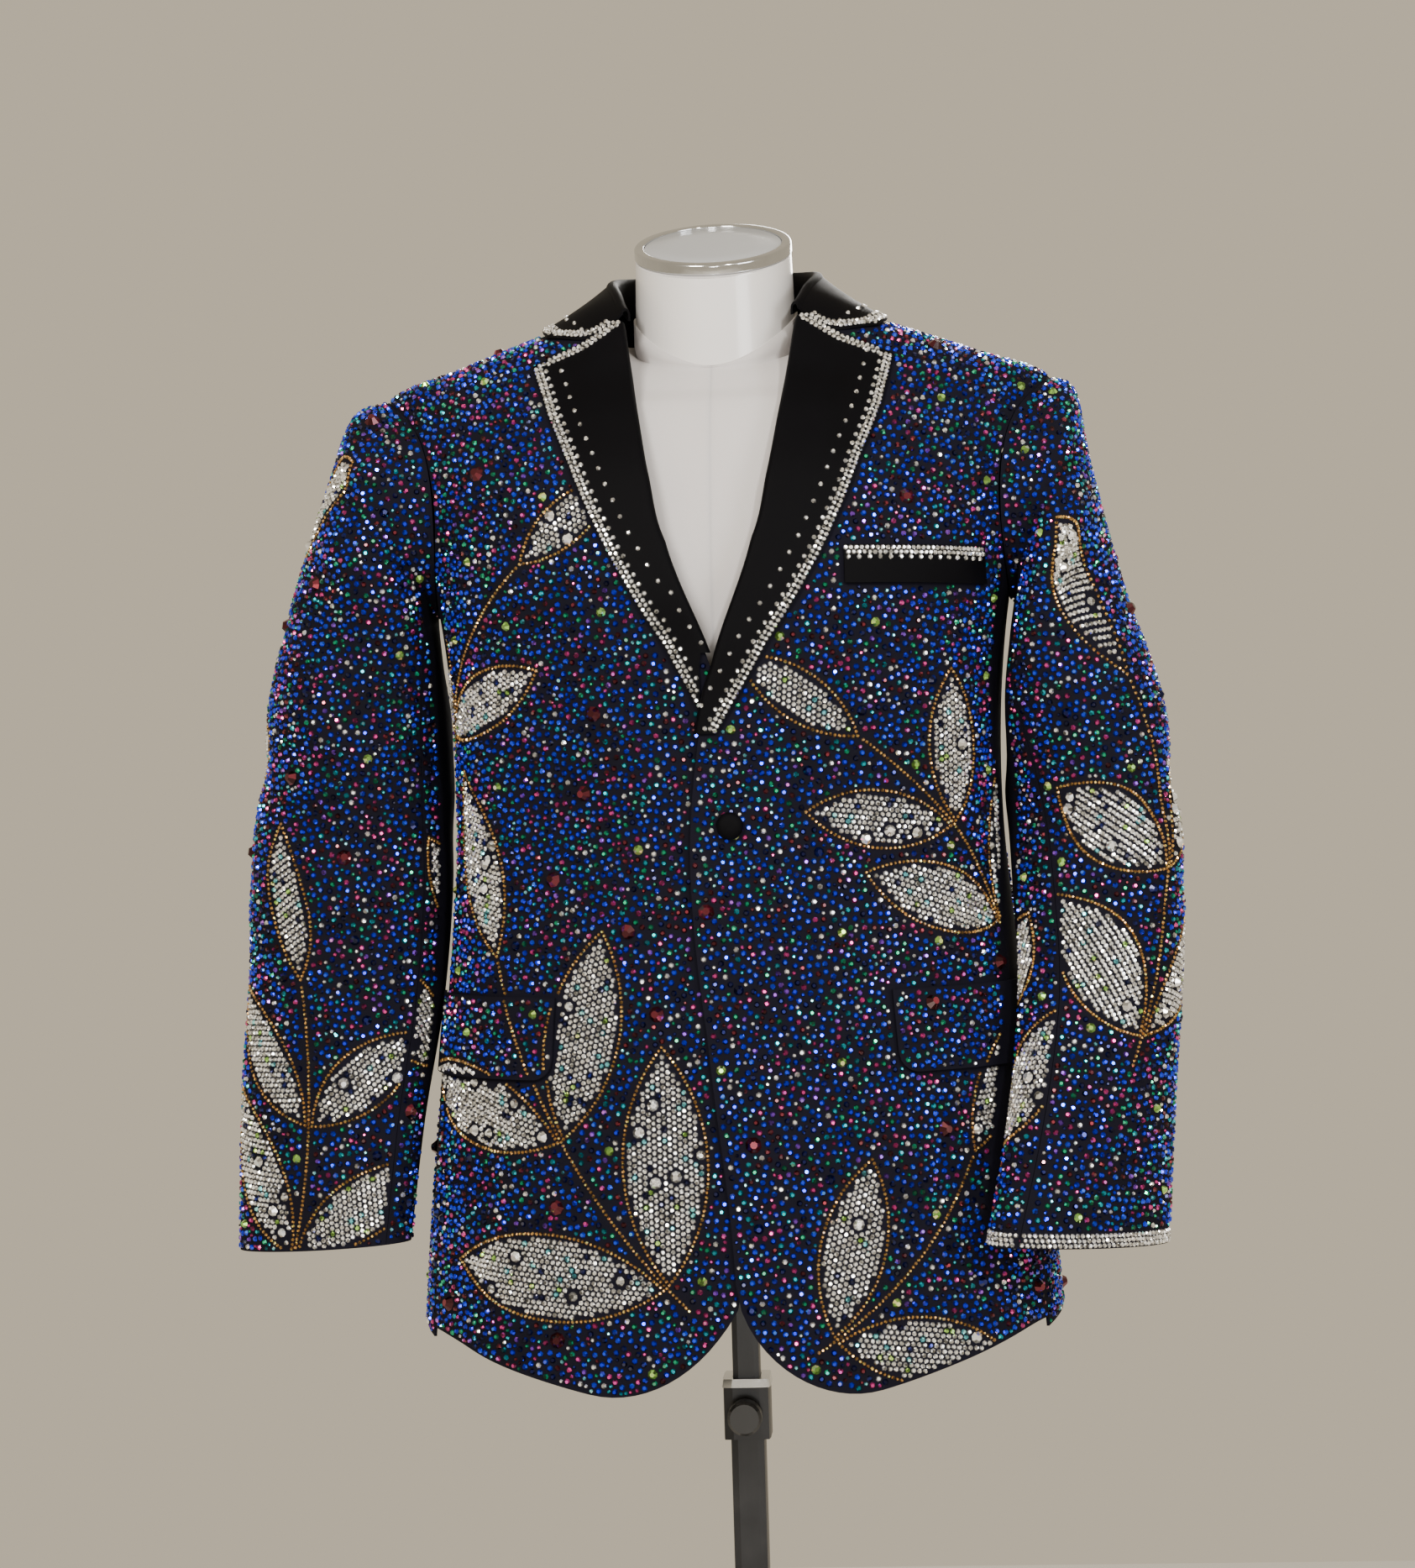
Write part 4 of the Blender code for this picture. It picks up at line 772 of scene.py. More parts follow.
@dataclass(frozen=True)
class FacetedStones:
    """Foiled glass stones: each facet's colour with painted glints, mirror-like under a clear coat."""

    def make(self) -> bpy.types.Material:
        """Colour comes from the facets' attribute, which holds painted glints."""
        pen = Pen("foiled_stones")
        colour = pen.value(pen.node("ShaderNodeAttribute", {"attribute_name": "facet_colour_and_painted_glint"}), "Color")
        haze = pen.noise(900.0, 1.0)
        return pen.close(Base_Color=colour, Metallic=0.78, Roughness=0.12 + haze * 0.10, Coat_Weight=0.25,
                         Coat_Roughness=0.04)


@dataclass(frozen=True)
class Jersey:
    """White knitted cover of the dress form, with a seam down its middle."""

    rib: float = 0.0011
    seam: float = 0.0011

    def make(self) -> bpy.types.Material:
        """Rib height is a sine across; the seam is a narrow groove where x is near 0, also darkened in colour as
        painted shade.
        """
        pen = Pen("white_jersey")
        parts = pen.node("ShaderNodeSeparateXYZ", None, {0: pen.place()})
        across, upward = pen.value(parts, 0), pen.value(parts, 2)
        rib = (across * (2 * math.pi / self.rib)).wave() * (upward * (2 * math.pi / self.rib / 1.3)).wave()
        groove = (across.size() / self.seam) ** 2.0
        groove = (groove + 1.0) ** -1.0
        cloud = pen.noise(9.0, 3.0)
        tone = pen.blend(cloud, (0.54, 0.51, 0.50), (0.62, 0.59, 0.58))
        # painted shade: the seam's groove is darkened in colour as well as cut into the bump
        colour = pen.blend(groove * 0.35, tone, (0.36, 0.36, 0.38))
        normal = pen.bump(rib * 0.25 - groove * 1.6, 0.00035, 0.7)
        return pen.close(Base_Color=colour, Roughness=0.72 + cloud * 0.08, Normal=normal, Sheen_Weight=0.1)


@dataclass(frozen=True)
class Enamel:
    """Glossy moulded white with faint unevenness."""

    name: str
    light: Colour
    dark: Colour
    roughness: float

    def make(self) -> bpy.types.Material:
        """Tone and gloss follow a slow noise."""
        pen = Pen(self.name)
        cloud = pen.noise(14.0, 4.0)
        colour = pen.blend(cloud, self.dark, self.light)
        normal = pen.bump(pen.noise(60.0, 2.0), 0.00008, 0.35)
        return pen.close(Base_Color=colour, Roughness=self.roughness + cloud * 0.08, Normal=normal, Coat_Weight=0.35,
                         Coat_Roughness=0.08)


@dataclass(frozen=True)
class Metal:
    """Polished or painted metal with fine scratches and handling marks."""

    name: str
    colour: Colour
    worn: Colour
    metallic: float
    roughness: float

    def make(self) -> bpy.types.Material:
        """Scratches are noise drawn out along the height."""
        pen = Pen(self.name)
        place = pen.node("ShaderNodeMapping", None, {"Vector": pen.place(), "Scale": (1.0, 1.0, 0.12)})
        scratch = pen.noise(420.0, 3.0, pen.value(place))
        marks = pen.noise(26.0, 4.0)
        colour = pen.blend((marks - 0.45) * 1.6 + scratch * 0.2, self.colour, self.worn)
        normal = pen.bump(scratch, 0.00005, 0.35)
        return pen.close(Base_Color=colour, Metallic=self.metallic, Roughness=self.roughness + marks * 0.12,
                         Normal=normal)


@dataclass(frozen=True)
class StoneCut:
    """Cut of a stone: its sides, the width of its table and its height, as shares of its diameter."""

    sides: int
    table: float
    height: float


@dataclass(frozen=True)
class Stone:
    """One kind of stone: its diameter, colour, how often it is used, and its cut."""

    diameter: float
    colour: Colour
    share: float
    cut: StoneCut


SMALL_CUT = StoneCut(5, 0.56, 0.36)
ROUND_CUT = StoneCut(6, 0.58, 0.36)
LARGE_CUT = StoneCut(8, 0.45, 0.38)

SAPPHIRE: Colour = (0.006, 0.020, 0.720)
# partly painted glint: a brighter copy of the sapphire, standing for lighter blue stones and for sapphires that catch
# the light
BRIGHT_BLUE: Colour = (0.014, 0.050, 1.000)
INK: Colour = (0.004, 0.007, 0.060)
TEAL: Colour = (0.000, 0.260, 0.330)
AQUA: Colour = (0.180, 0.700, 0.800)
EMERALD: Colour = (0.004, 0.230, 0.110)
FUCHSIA: Colour = (0.500, 0.035, 0.200)
AMETHYST: Colour = (0.180, 0.050, 0.480)
GARNET: Colour = (0.085, 0.012, 0.018)
LIME: Colour = (0.330, 0.620, 0.110)
CRYSTAL: Colour = (1.000, 0.970, 0.910)
SMOKE: Colour = (0.600, 0.590, 0.550)
GOLD: Colour = (0.430, 0.230, 0.065)


def kinds(diameter: float, cut: StoneCut, *parts: tuple[Colour, float]) -> tuple[Stone, ...]:
    """Kinds of stone of one size and cut, from their colours and shares."""
    return tuple(Stone(diameter, colour, share, cut) for colour, share in parts)


NIGHT_BIG = (kinds(0.0115, LARGE_CUT, (GARNET, 0.30)) + kinds(0.0070, LARGE_CUT, (LIME, 0.45))
             + kinds(0.0075, LARGE_CUT, (INK, 0.25)))
NIGHT_MAIN = (kinds(0.0044, ROUND_CUT, (SAPPHIRE, 0.30), (BRIGHT_BLUE, 0.20), (INK, 0.12))
              + kinds(0.0042, ROUND_CUT, (TEAL, 0.08), (AMETHYST, 0.05), (CRYSTAL, 0.045), (GARNET, 0.07),
                      (EMERALD, 0.06), (FUCHSIA, 0.08)))
NIGHT_FILL = (kinds(0.0029, SMALL_CUT, (INK, 0.12), (SAPPHIRE, 0.16))
              + kinds(0.0030, SMALL_CUT, (TEAL, 0.16), (EMERALD, 0.09), (FUCHSIA, 0.16), (GARNET, 0.07),
                      (AQUA, 0.09), (CRYSTAL, 0.14)))
SILVER_MAIN = kinds(0.0039, ROUND_CUT, (CRYSTAL, 0.80), (SMOKE, 0.12), (AQUA, 0.03), (LIME, 0.02), (INK, 0.03))
SILVER_BIG = kinds(0.0085, LARGE_CUT, (CRYSTAL, 0.7)) + kinds(0.0070, LARGE_CUT, (SMOKE, 0.3))
TRIM_MAIN = kinds(0.0037, ROUND_CUT, (CRYSTAL, 0.85), (SMOKE, 0.15))
TRIM_SINGLE = kinds(0.0036, ROUND_CUT, (CRYSTAL, 1.0))
GOLD_SMALL = kinds(0.0029, SMALL_CUT, (GOLD, 1.0))


class StoneBed:
    """Stones of one piece, gathered kind by kind and made into one mesh of facets."""

    tilt: float = 0.11

    def __init__(self, name: str, chance: np.random.Generator) -> None:
        """Start an empty bed with its own random numbers."""
        self.name = name
        self.chance = chance
        self.points = np.zeros((0, 3))
        self.normals = np.zeros((0, 3))
        self.diameters = np.zeros(0)
        self.colours = np.zeros((0, 3))
        self.cuts: list[StoneCut] = []
        self.object: bpy.types.Object | None = None

    def add(self, points: Array, normals: Array, kinds: Sequence[Stone]) -> None:
        """Lay stones at points, each of a kind picked by its share."""
        if not len(points):
            return
        shares = np.array([kind.share for kind in kinds])
        which = self.chance.choice(len(kinds), len(points), p=shares / shares.sum())
        self.points = np.concatenate([self.points, points])
        self.normals = np.concatenate([self.normals, normals])
        self.diameters = np.concatenate([self.diameters, np.array([k.diameter for k in kinds])[which]])
        self.colours = np.concatenate([self.colours, np.array([k.colour for k in kinds])[which]])
        self.cuts += [kinds[index].cut for index in which]

    def keep(self, kept: Array) -> None:
        """Keep only these stones."""
        self.points, self.normals = self.points[kept], self.normals[kept]
        self.diameters, self.colours = self.diameters[kept], self.colours[kept]
        self.cuts = [cut for cut, stays in zip(self.cuts, kept) if stays]

    def clear_of(self, covers: Sequence[BVHTree], near: float = 0.0026, above: float = 0.016) -> None:
        """Drop the stones that lie under or against other sheets."""
        kept = np.ones(len(self.points), dtype=bool)
        for index, (point, normal) in enumerate(zip(self.points, self.normals)):
            start, toward = Vector(point + normal * 0.0004), Vector(normal)
            kept[index] = not any(cover.find_nearest(start, near)[0] or cover.ray_cast(start, toward, above)[0]
                                  for cover in covers)
        self.keep(kept)

    def facets(self, cut: StoneCut, chosen: Array) -> tuple[Array, Array, Array, Array]:
        """Corners and facets of all stones of one cut.

        A stone is a ring on the cloth, a smaller ring at its full height, a four-cornered facet
        between them for each side, and the flat table. Each facet's colour is the stone's own
        times a random painted glint, and a few facets get a painted white highlight.

        Args:
            cut: the cut.
            chosen: indexes of its stones.

        Returns:
            Points, corner indexes, the number of corners of each facet and the facets' colours.
        """
        count, sides = len(chosen), cut.sides
        lean = self.chance.normal(0, self.tilt, (count, 3))
        facing = unit(self.normals[chosen] + lean)
        helper = unit(self.chance.normal(0, 1, (count, 3)))
        first = unit(np.cross(helper, facing))
        second = np.cross(facing, first)
        turns = np.arange(sides) * 2 * math.pi / sides
        ring = np.cos(turns)[None, :, None] * first[:, None] + np.sin(turns)[None, :, None] * second[:, None]
        radius = (self.diameters[chosen] / 2)[:, None, None]
        base = self.points[chosen][:, None]
        rise = (facing * (self.diameters[chosen] * cut.height)[:, None])[:, None]
        points = np.concatenate([base + ring * radius, base + ring * radius * cut.table + rise], axis=1)
        index = np.arange(sides)
        crown = np.stack([index, (index + 1) % sides, (index + 1) % sides + sides, index + sides], axis=-1)
        corners = np.concatenate([crown.ravel(), index + sides])
        corners = corners[None] + (np.arange(count) * 2 * sides)[:, None]
        sizes = np.tile(np.array([4] * sides + [sides]), count)
        # painted glints: each facet's brightness is scaled at random, standing in for light caught inside the stone
        painted_glint = np.exp(self.chance.normal(-0.12, 0.84, (count, sides + 1, 1)))
        painted_glint_colour = self.colours[chosen][:, None] * painted_glint
        # painted highlights: about one facet in fourteen is whitened as if it mirrored a lamp
        white = np.clip(self.chance.random((count, sides + 1, 1)) - 0.93, 0, 1) * 6
        colours = np.clip(painted_glint_colour + white * (0.25 + self.colours[chosen][:, None]), 0, 1)
        return points.reshape(-1, 3), corners.ravel(), sizes, colours.reshape(-1, 3)

    def build(self, finish: bpy.types.Material) -> bpy.types.Object:
        """Make the mesh of all the stones."""
        blocks, offset = [], 0
        for cut in sorted(set(self.cuts), key=lambda item: item.sides):
            chosen = np.array([index for index, own in enumerate(self.cuts) if own == cut])
            points, corners, sizes, colours = self.facets(cut, chosen)
            blocks.append((points, corners + offset, sizes, colours))
            offset += len(points)
        points, corners, sizes, colours = (np.concatenate(part) for part in zip(*blocks))
        mesh = bpy.data.meshes.new(self.name)
        mesh.vertices.add(len(points))
        mesh.vertices.foreach_set("co", points.astype(np.float32).ravel())
        mesh.loops.add(len(corners))
        mesh.loops.foreach_set("vertex_index", corners.astype(np.int32))
        mesh.polygons.add(len(sizes))
        starts = np.concatenate([[0], np.cumsum(sizes)[:-1]])
        mesh.polygons.foreach_set("loop_start", starts.astype(np.int32))
        mesh.update(calc_edges=True)
        mesh.validate()
        mesh.shade_flat()
        paint_facets(mesh, sizes, colours)
        self.object = add_piece(self.name, mesh, finish)
        return self.object


@dataclass(frozen=True)
class Spray:
    """Branch of plain pointed leaves on the flat cloth: a bowed stem, leaf pairs and one leaf at its end."""

    start: tuple[float, float]
    end: tuple[float, float]
    bow: float
    pairs: int
    length: float
    width: float
    open_turn: float = 42.0
    taper: float = 0.75

    def stem(self, shares: Array) -> Array:
        """Points of the stem: a straight line plus a parabola to one side."""
        start, end = np.array(self.start), np.array(self.end)
        run = end - start
        side = np.array([-run[1], run[0]]) / np.linalg.norm(run)
        shares = np.asarray(shares, dtype=float)[:, None]
        return start + run * shares + side * self.bow * 4 * shares * (1 - shares)

    def leaves(self) -> Array:
        """Rows of foot x, foot z, turn, length and width of every leaf."""
        rows = []
        for index in range(self.pairs):
            share = 0.06 + 0.80 * index / self.pairs
            foot, ahead = self.stem([share, share + 0.02])
            turn = math.atan2(ahead[1] - foot[1], ahead[0] - foot[0])
            size = 1 - (1 - self.taper) * share
            for side in (+1, -1):
                open_by = side * math.radians(self.open_turn)
                rows.append((*foot, turn + open_by, self.length * size, self.width * size))
        foot, ahead = self.stem([0.90, 0.92])
        turn = math.atan2(ahead[1] - foot[1], ahead[0] - foot[0])
        rows.append((*foot, turn, self.length * self.taper * 1.1, self.width * self.taper))
        return np.array(rows)


class Motifs:
    """All the sprays on one region of flat cloth, as signed distances and rows of stones."""

    gold_step: float = 0.0031
    silver_step: float = 0.0041
    inset: float = 0.0034
    foot_gap: float = 0.004

    def __init__(self, sprays: Sequence[Spray], chance: np.random.Generator) -> None:
        """Lay out the leaves."""
        self.sprays = sprays
        self.chance = chance
        self.rows = np.concatenate([spray.leaves() for spray in sprays]) if sprays else np.zeros((0, 5))

    @staticmethod
    def axes(turn: float) -> tuple[Array, Array]:
        """Directions along and across a leaf."""
        along = np.array([math.cos(turn), math.sin(turn)])
        return along, np.array([-along[1], along[0]])

    @staticmethod
    def disc(length: float, width: float) -> tuple[float, float, float]:
        """Half length, half width and radius of the two discs that overlap in a leaf."""
        half_length, half_width = length / 2, width / 2
        return half_length, half_width, (half_length**2 + half_width**2) / (2 * half_width)

    def leaf_distance(self, flat: Array, row: Array) -> Array:
        """Signed distance to one leaf, the overlap of two equal discs, negative inside."""
        x, z, turn, length, width = row
        along_axis, side_axis = self.axes(turn)
        offset = flat - (np.array([x, z]) + along_axis * (length / 2 + self.foot_gap))
        across, along = np.abs(offset @ side_axis), offset @ along_axis
        _, half_width, radius = self.disc(length, width)
        return np.sqrt(along**2 + (across + radius - half_width) ** 2) - radius

    def distance(self, flat: Array) -> Array:
        """Signed distance to the nearest leaf or stem."""
        nearest = np.full(len(flat), 1.0)
        for row in self.rows:
            nearest = np.minimum(nearest, self.leaf_distance(flat, row))
        for spray in self.sprays:
            line = spray.stem(np.linspace(0, 0.93, 60))
            gaps = np.linalg.norm(flat[:, None] - line[None], axis=-1).min(axis=1)
            nearest = np.minimum(nearest, gaps - 0.0022)
        return nearest

    def outlines(self) -> Array:
        """Even places on the leaves' outlines that no earlier leaf covers, and along the stems."""
        spots = []
        for number, (x, z, turn, length, width) in enumerate(self.rows):
            half_length, half_width, radius = self.disc(length, width)
            reach = math.asin(half_length / radius)
            count = max(4, round(2 * reach * radius / self.gold_step))
            turns = np.linspace(-reach, reach, count)
            along_axis, side_axis = self.axes(turn)
            centre = np.array([x, z]) + along_axis * (half_length + self.foot_gap)
            for side in (+1, -1):
                across = side * (radius * np.cos(turns) - radius + half_width)
                line = centre + radius * np.sin(turns)[:, None] * along_axis + across[:, None] * side_axis
                line = line[:-1] if side < 0 else line
                free = np.ones(len(line), dtype=bool)
                for other, row in enumerate(self.rows):
                    if other != number:
                        free &= self.leaf_distance(line, row) > (0.001 if other < number else -0.0005)
                spots.append(line[free])
        for spray in self.sprays:
            fine = spray.stem(np.linspace(0, 0.93, 400))
            run = run_length(fine)
            even = np.arange(0, run[-1], self.gold_step)
            line = np.stack([np.interp(even, run, fine[:, k]) for k in range(2)], axis=-1)
            gap = np.min([self.leaf_distance(line, row) for row in self.rows], axis=0)
            spots.append(line[gap > 0.0022])
        return np.concatenate(spots) if spots else np.zeros((0, 2))

    def fillings(self) -> tuple[Array, Array]:
        """Places of the silver stones inside the leaves: closely packed rows along each leaf.

        Returns:
            Places of the small stones and of the few large ones.
        """
        small, large = [], []
        for number, row in enumerate(self.rows):
            x, z, turn, length, width = row
            along_axis, side_axis = self.axes(turn)
            lines = int(width / 2 / (self.silver_step * 0.866)) + 1
            along, across = np.meshgrid(np.arange(0, length + self.silver_step, self.silver_step),
                                        np.arange(-lines, lines + 1), indexing="ij")
            along = along + (across % 2) * self.silver_step / 2
            flat = (np.array([x, z]) + (along[..., None] + self.foot_gap) * along_axis
                    + (across * self.silver_step * 0.866)[..., None] * side_axis).reshape(-1, 2)
            inside = self.leaf_distance(flat, row) < -self.inset
            for other in self.rows[:number]:
                inside &= self.leaf_distance(flat, other) > self.inset
            flat = flat[inside]
            if not len(flat):
                continue
            picks = flat[self.chance.random(len(flat)) < 0.012]
            for pick in picks:
                flat = flat[np.linalg.norm(flat - pick, axis=1) > 0.0062]
            large.append(picks)
            small.append(flat)
        if not small:
            return np.zeros((0, 2)), np.zeros((0, 2))
        return np.concatenate(small), np.concatenate(large)


def trim_edge(bed: StoneBed, sheet: Sheet, side: Side, rows: int, tooth: bool, single: float = 0.0,
              ends: tuple[float, float] = (0.002, 0.002)) -> None:
    """Packed rows of silver stones along a border, a row of teeth, and spaced single stones.

    Args:
        bed: the stones' bed.
        sheet: the cloth.
        side: its border.
        rows: number of packed rows.
        tooth: whether a row of teeth follows.
        single: distance of the single stones from the border, or 0 for none.
        ends: lengths left free at both ends.
    """
    step = 0.0038
    for row in range(rows):
        away = 0.0021 + row * 0.0033
        bed.add(*sheet.parallel(side, away, step, 0.5 * (row % 2), ends), TRIM_MAIN)
    if tooth:
        bed.add(*sheet.parallel(side, 0.0021 + rows * 0.0033, step * 2, 0.25, ends), TRIM_MAIN)
    if single:
        bed.add(*sheet.parallel(side, single, 0.0135, 0.5, ends), TRIM_SINGLE)


class Stoning:
    """Covers sheets with stones: leaves in silver and gold first, then a scattered night ground."""

    candidate_area: float = 2.2e-6
    gap: float = 0.0004
    big_reach: float = 0.055
    main_reach: float = 0.0050

    def __init__(self, finish: bpy.types.Material) -> None:
        """Keep the stones' material."""
        self.finish = finish
        self.total = 0

    def scatter(self, points: Array, free: Array, own: float, placed: Array, reach: Array,
                apart: float | None = None) -> list[int]:
        """Pick places one after another, each clear of all that came before.

        Args:
            points: candidate points, in random order.
            free: which of them may be picked; it is updated.
            own: diameter of the stones to place.
            placed: points of the stones that lie there already.
            reach: their radii.
            apart: distance between two new stones, else their diameter and a gap.

        Returns:
            Indexes of the picked candidates.
        """
        tree = search_tree(points)
        for point, radius in zip(placed, reach):
            for _, index, _ in tree.find_range(point, radius + own / 2 + self.gap):
                free[index] = False
        picked = []
        for index in range(len(points)):
            if free[index]:
                picked.append(index)
                for _, other, _ in tree.find_range(points[index], apart or own + self.gap):
                    free[other] = False
        return picked

    def cover(self, sheet: Sheet, motifs: Motifs, covers: Sequence[BVHTree], seed: int,
              seam: float = 0.0006, hems: Sequence[Side] = ()) -> StoneBed:
        """Stones of one sheet.

        Args:
            sheet: the cloth.
            motifs: leaves of its region.
            covers: sheets that lie on it or against it.
            seed: seed of its random numbers.
            seam: free cloth along its border.
            hems: borders with a silver trim.

        Returns:
            The bed of stones.
        """
        chance = np.random.default_rng(seed)
        bed = StoneBed(f"stones_{sheet.name}", chance)
        border = sheet.border()
        edge = search_tree(border)
        for side in hems:
            trim_edge(bed, sheet, side, 3, False)
        floor = sheet.parallel(hems[0], 0.0105, 0.002)[0].min(axis=0)[2] if hems else -math.inf
        fillings = zip((motifs.outlines(), *motifs.fillings()), (GOLD_SMALL, SILVER_MAIN, SILVER_BIG))
        for flat, mixed in fillings:
            points, normals, _ = sheet.place(flat)
            apart = mixed[0].diameter / 2 + seam
            clear = np.array([edge.find(point)[2] > apart and point[2] > floor for point in points], dtype=bool)
            bed.add(points[clear], normals[clear], mixed)
        points, normals, flat = sheet.spread(self.candidate_area, chance)
        ground = motifs.distance(flat) > 0.0030 if len(motifs.rows) else np.ones(len(points), dtype=bool)
        for mixed, apart in ((NIGHT_BIG, self.big_reach), (NIGHT_MAIN, self.main_reach), (NIGHT_FILL, None)):
            own = max(kind.diameter for kind in mixed)
            free = ground.copy()
            placed = np.concatenate([bed.points, border])
            reach = np.concatenate([bed.diameters / 2, np.full(len(border), seam)])
            picked = self.scatter(points, free, own, placed, reach, apart)
            bed.add(points[picked], normals[picked], mixed)
        bed.clear_of(covers)
        self.total += len(bed.points)
        return bed


@dataclass
class JacketBody:
    """Front, side and back panels of both halves."""

    form: BodyForm
    arm: Armhole
    edges: dict[int, Table]
    hem_front: float = 0.697
    hem_back: float = 0.744
    corner_width: float = 0.080
    corner_height: float = 0.086
    front_width: float = 0.250
    back_neck: float = 1.464
    low_steps: int = 44
    arm_steps: int = 18
    top_steps: int = 16
    front_steps: int = 34
    back_steps: int = 24
    side_steps: int = 12

    def hem(self, angle: Array) -> Array:
        """Height of the hem at an angle from the side line, without the round front corners."""
        share = np.clip(np.abs(angle) / (math.pi / 2), 0, 1)
        far = np.where(np.asarray(angle) > 0, self.hem_front, self.hem_back)
        return self.arm.hem_side + (far - self.arm.hem_side) * share**2 * (3 - 2 * share)

    def rows(self, low: Array, middle: float, top: float) -> Array:
        """Rows from the hem to the armhole's corner, along the armhole and over the shoulder."""
        below = np.linspace(0, 1, self.low_steps + 1)
        lower = low + (middle - low) * below[:, None]
        shoulder = self.form.shoulder_row
        loop = np.linspace(middle, shoulder, self.arm_steps + 1)[1:, None] + 0 * low
        upper = np.linspace(shoulder, top, self.top_steps + 1)[1:, None] + 0 * low
        return np.concatenate([lower, loop, upper])

    def side_angle(self, rows: Array, back: bool) -> Array:
        """Angle of a panel's side border."""
        distance = self.arm.distance(self.form, rows, back) + SEAM_GAP / 2
        return self.form.angle_at_y(rows, distance if back else -distance)

    def front(self, half: int) -> tuple[Array, Array]:
        """Angles and rows of a front panel."""
        shares = np.linspace(0, 1, self.front_steps + 1) ** 1.4
        guess = math.pi / 2 * (1 - shares)
        share = np.clip(1 - shares * self.front_width / self.corner_width, 0, 1)
        base = self.hem(guess) + self.corner_height * (1 - np.sqrt(1 - share**2))
        rows = self.rows(self.form.row_at(base), self.form.row_at(self.arm.corner()), self.form.neck_row - 0.02)
        edge = self.form.angle_at_x(rows, edge_at(self.edges[half], self.form.height(rows)))
        return edge + (self.side_angle(rows, False) - edge) * shares[None, :], rows

    def back(self) -> tuple[Array, Array]:
        """Angles and rows of a back panel."""
        shares = np.linspace(0, 1, self.back_steps + 1)
        low = self.form.row_at(self.hem(-math.pi / 2 * (1 - shares)))
        rows = self.rows(low, self.form.row_at(self.arm.corner()), self.form.neck_row - 0.02)
        top = self.form.rings[-1][0]
        neck = np.sqrt(np.clip((self.form.height(rows) - self.back_neck) / (top - self.back_neck), 0, 1))
        centre = -self.form.angle_at_x(rows, np.maximum(SEAM_GAP / 2, 0.074 * neck))
        return centre + (self.side_angle(rows, True) - centre) * shares[None, :], rows

    def side(self) -> tuple[Array, Array]:
        """Angles and rows of a side panel."""
        arm = self.arm
        shares = np.linspace(0, 1, self.side_steps + 1)
        distance = -arm.front * arm.share + (arm.front + arm.back) * arm.share * shares
        reach = np.where(distance < 0, arm.front, arm.back)
        high = self.form.row_at(arm.middle - arm.half * np.sqrt(1 - (distance / reach) ** 2))
        low = self.form.row_at(self.hem(np.linspace(arm.turn, -arm.turn, self.side_steps + 1)))
        rows = low + (high - low) * np.linspace(0, 1, self.low_steps + 1)[:, None]
        front = self.form.angle_at_y(rows, -(arm.distance(self.form, rows, False) - SEAM_GAP / 2))
        back = self.form.angle_at_y(rows, arm.distance(self.form, rows, True) - SEAM_GAP / 2)
        return front + (back - front) * shares[None, :], rows

    def sheets(self) -> dict[str, Sheet]:
        """Six panels by name."""
        made = {}
        for name, half in HALVES.items():
            for piece, (angles, rows) in (("front", self.front(half)), ("side", self.side()), ("back", self.back())):
                label, skin = f"{piece}_{name}", partial(self.form.point, half, angles, rows)
                made[label] = Sheet(label, skin, self.form.flat(half, angles, rows))
        return made


@dataclass
class Sleeves:
    """Top and under pieces of both sleeves."""

    forms: dict[str, SleeveForm]
    front_seam: float = 2.62
    back_top: float = -1.95
    back_cuff: float = -0.80
    seam_turn: float = 0.0040
    row_steps: int = 72
    top_steps: int = 34
    under_steps: int = 22

    def back_seam(self, rows: Array, last: int) -> Array:
        """Angle of the back seam, which comes round to the outside at the cuff."""
        return self.back_top + (self.back_cuff - self.back_top) * rows / last

    def sheets(self) -> dict[str, Sheet]:
        """Four sleeve pieces by name."""
        made = {}
        for name, form in self.forms.items():
            last = len(form.rings)
            rows = np.linspace(0, last, self.row_steps + 1)[:, None]
            back = self.back_seam(rows, last)
            gap = self.seam_turn
            spans = {
                "sleeve_top": (self.front_seam - gap + 0 * rows, back + gap, self.top_steps),
                "sleeve_under": (back - gap, self.front_seam + gap - 2 * math.pi + 0 * rows, self.under_steps),
            }
            for piece, (start, end, steps) in spans.items():
                angles = start + (end - start) * np.linspace(0, 1, steps + 1)[None, :]
                label = f"{piece}_{name}"
                made[label] = Sheet(label, partial(form.point, angles, rows), form.flat(angles, rows))
        return made


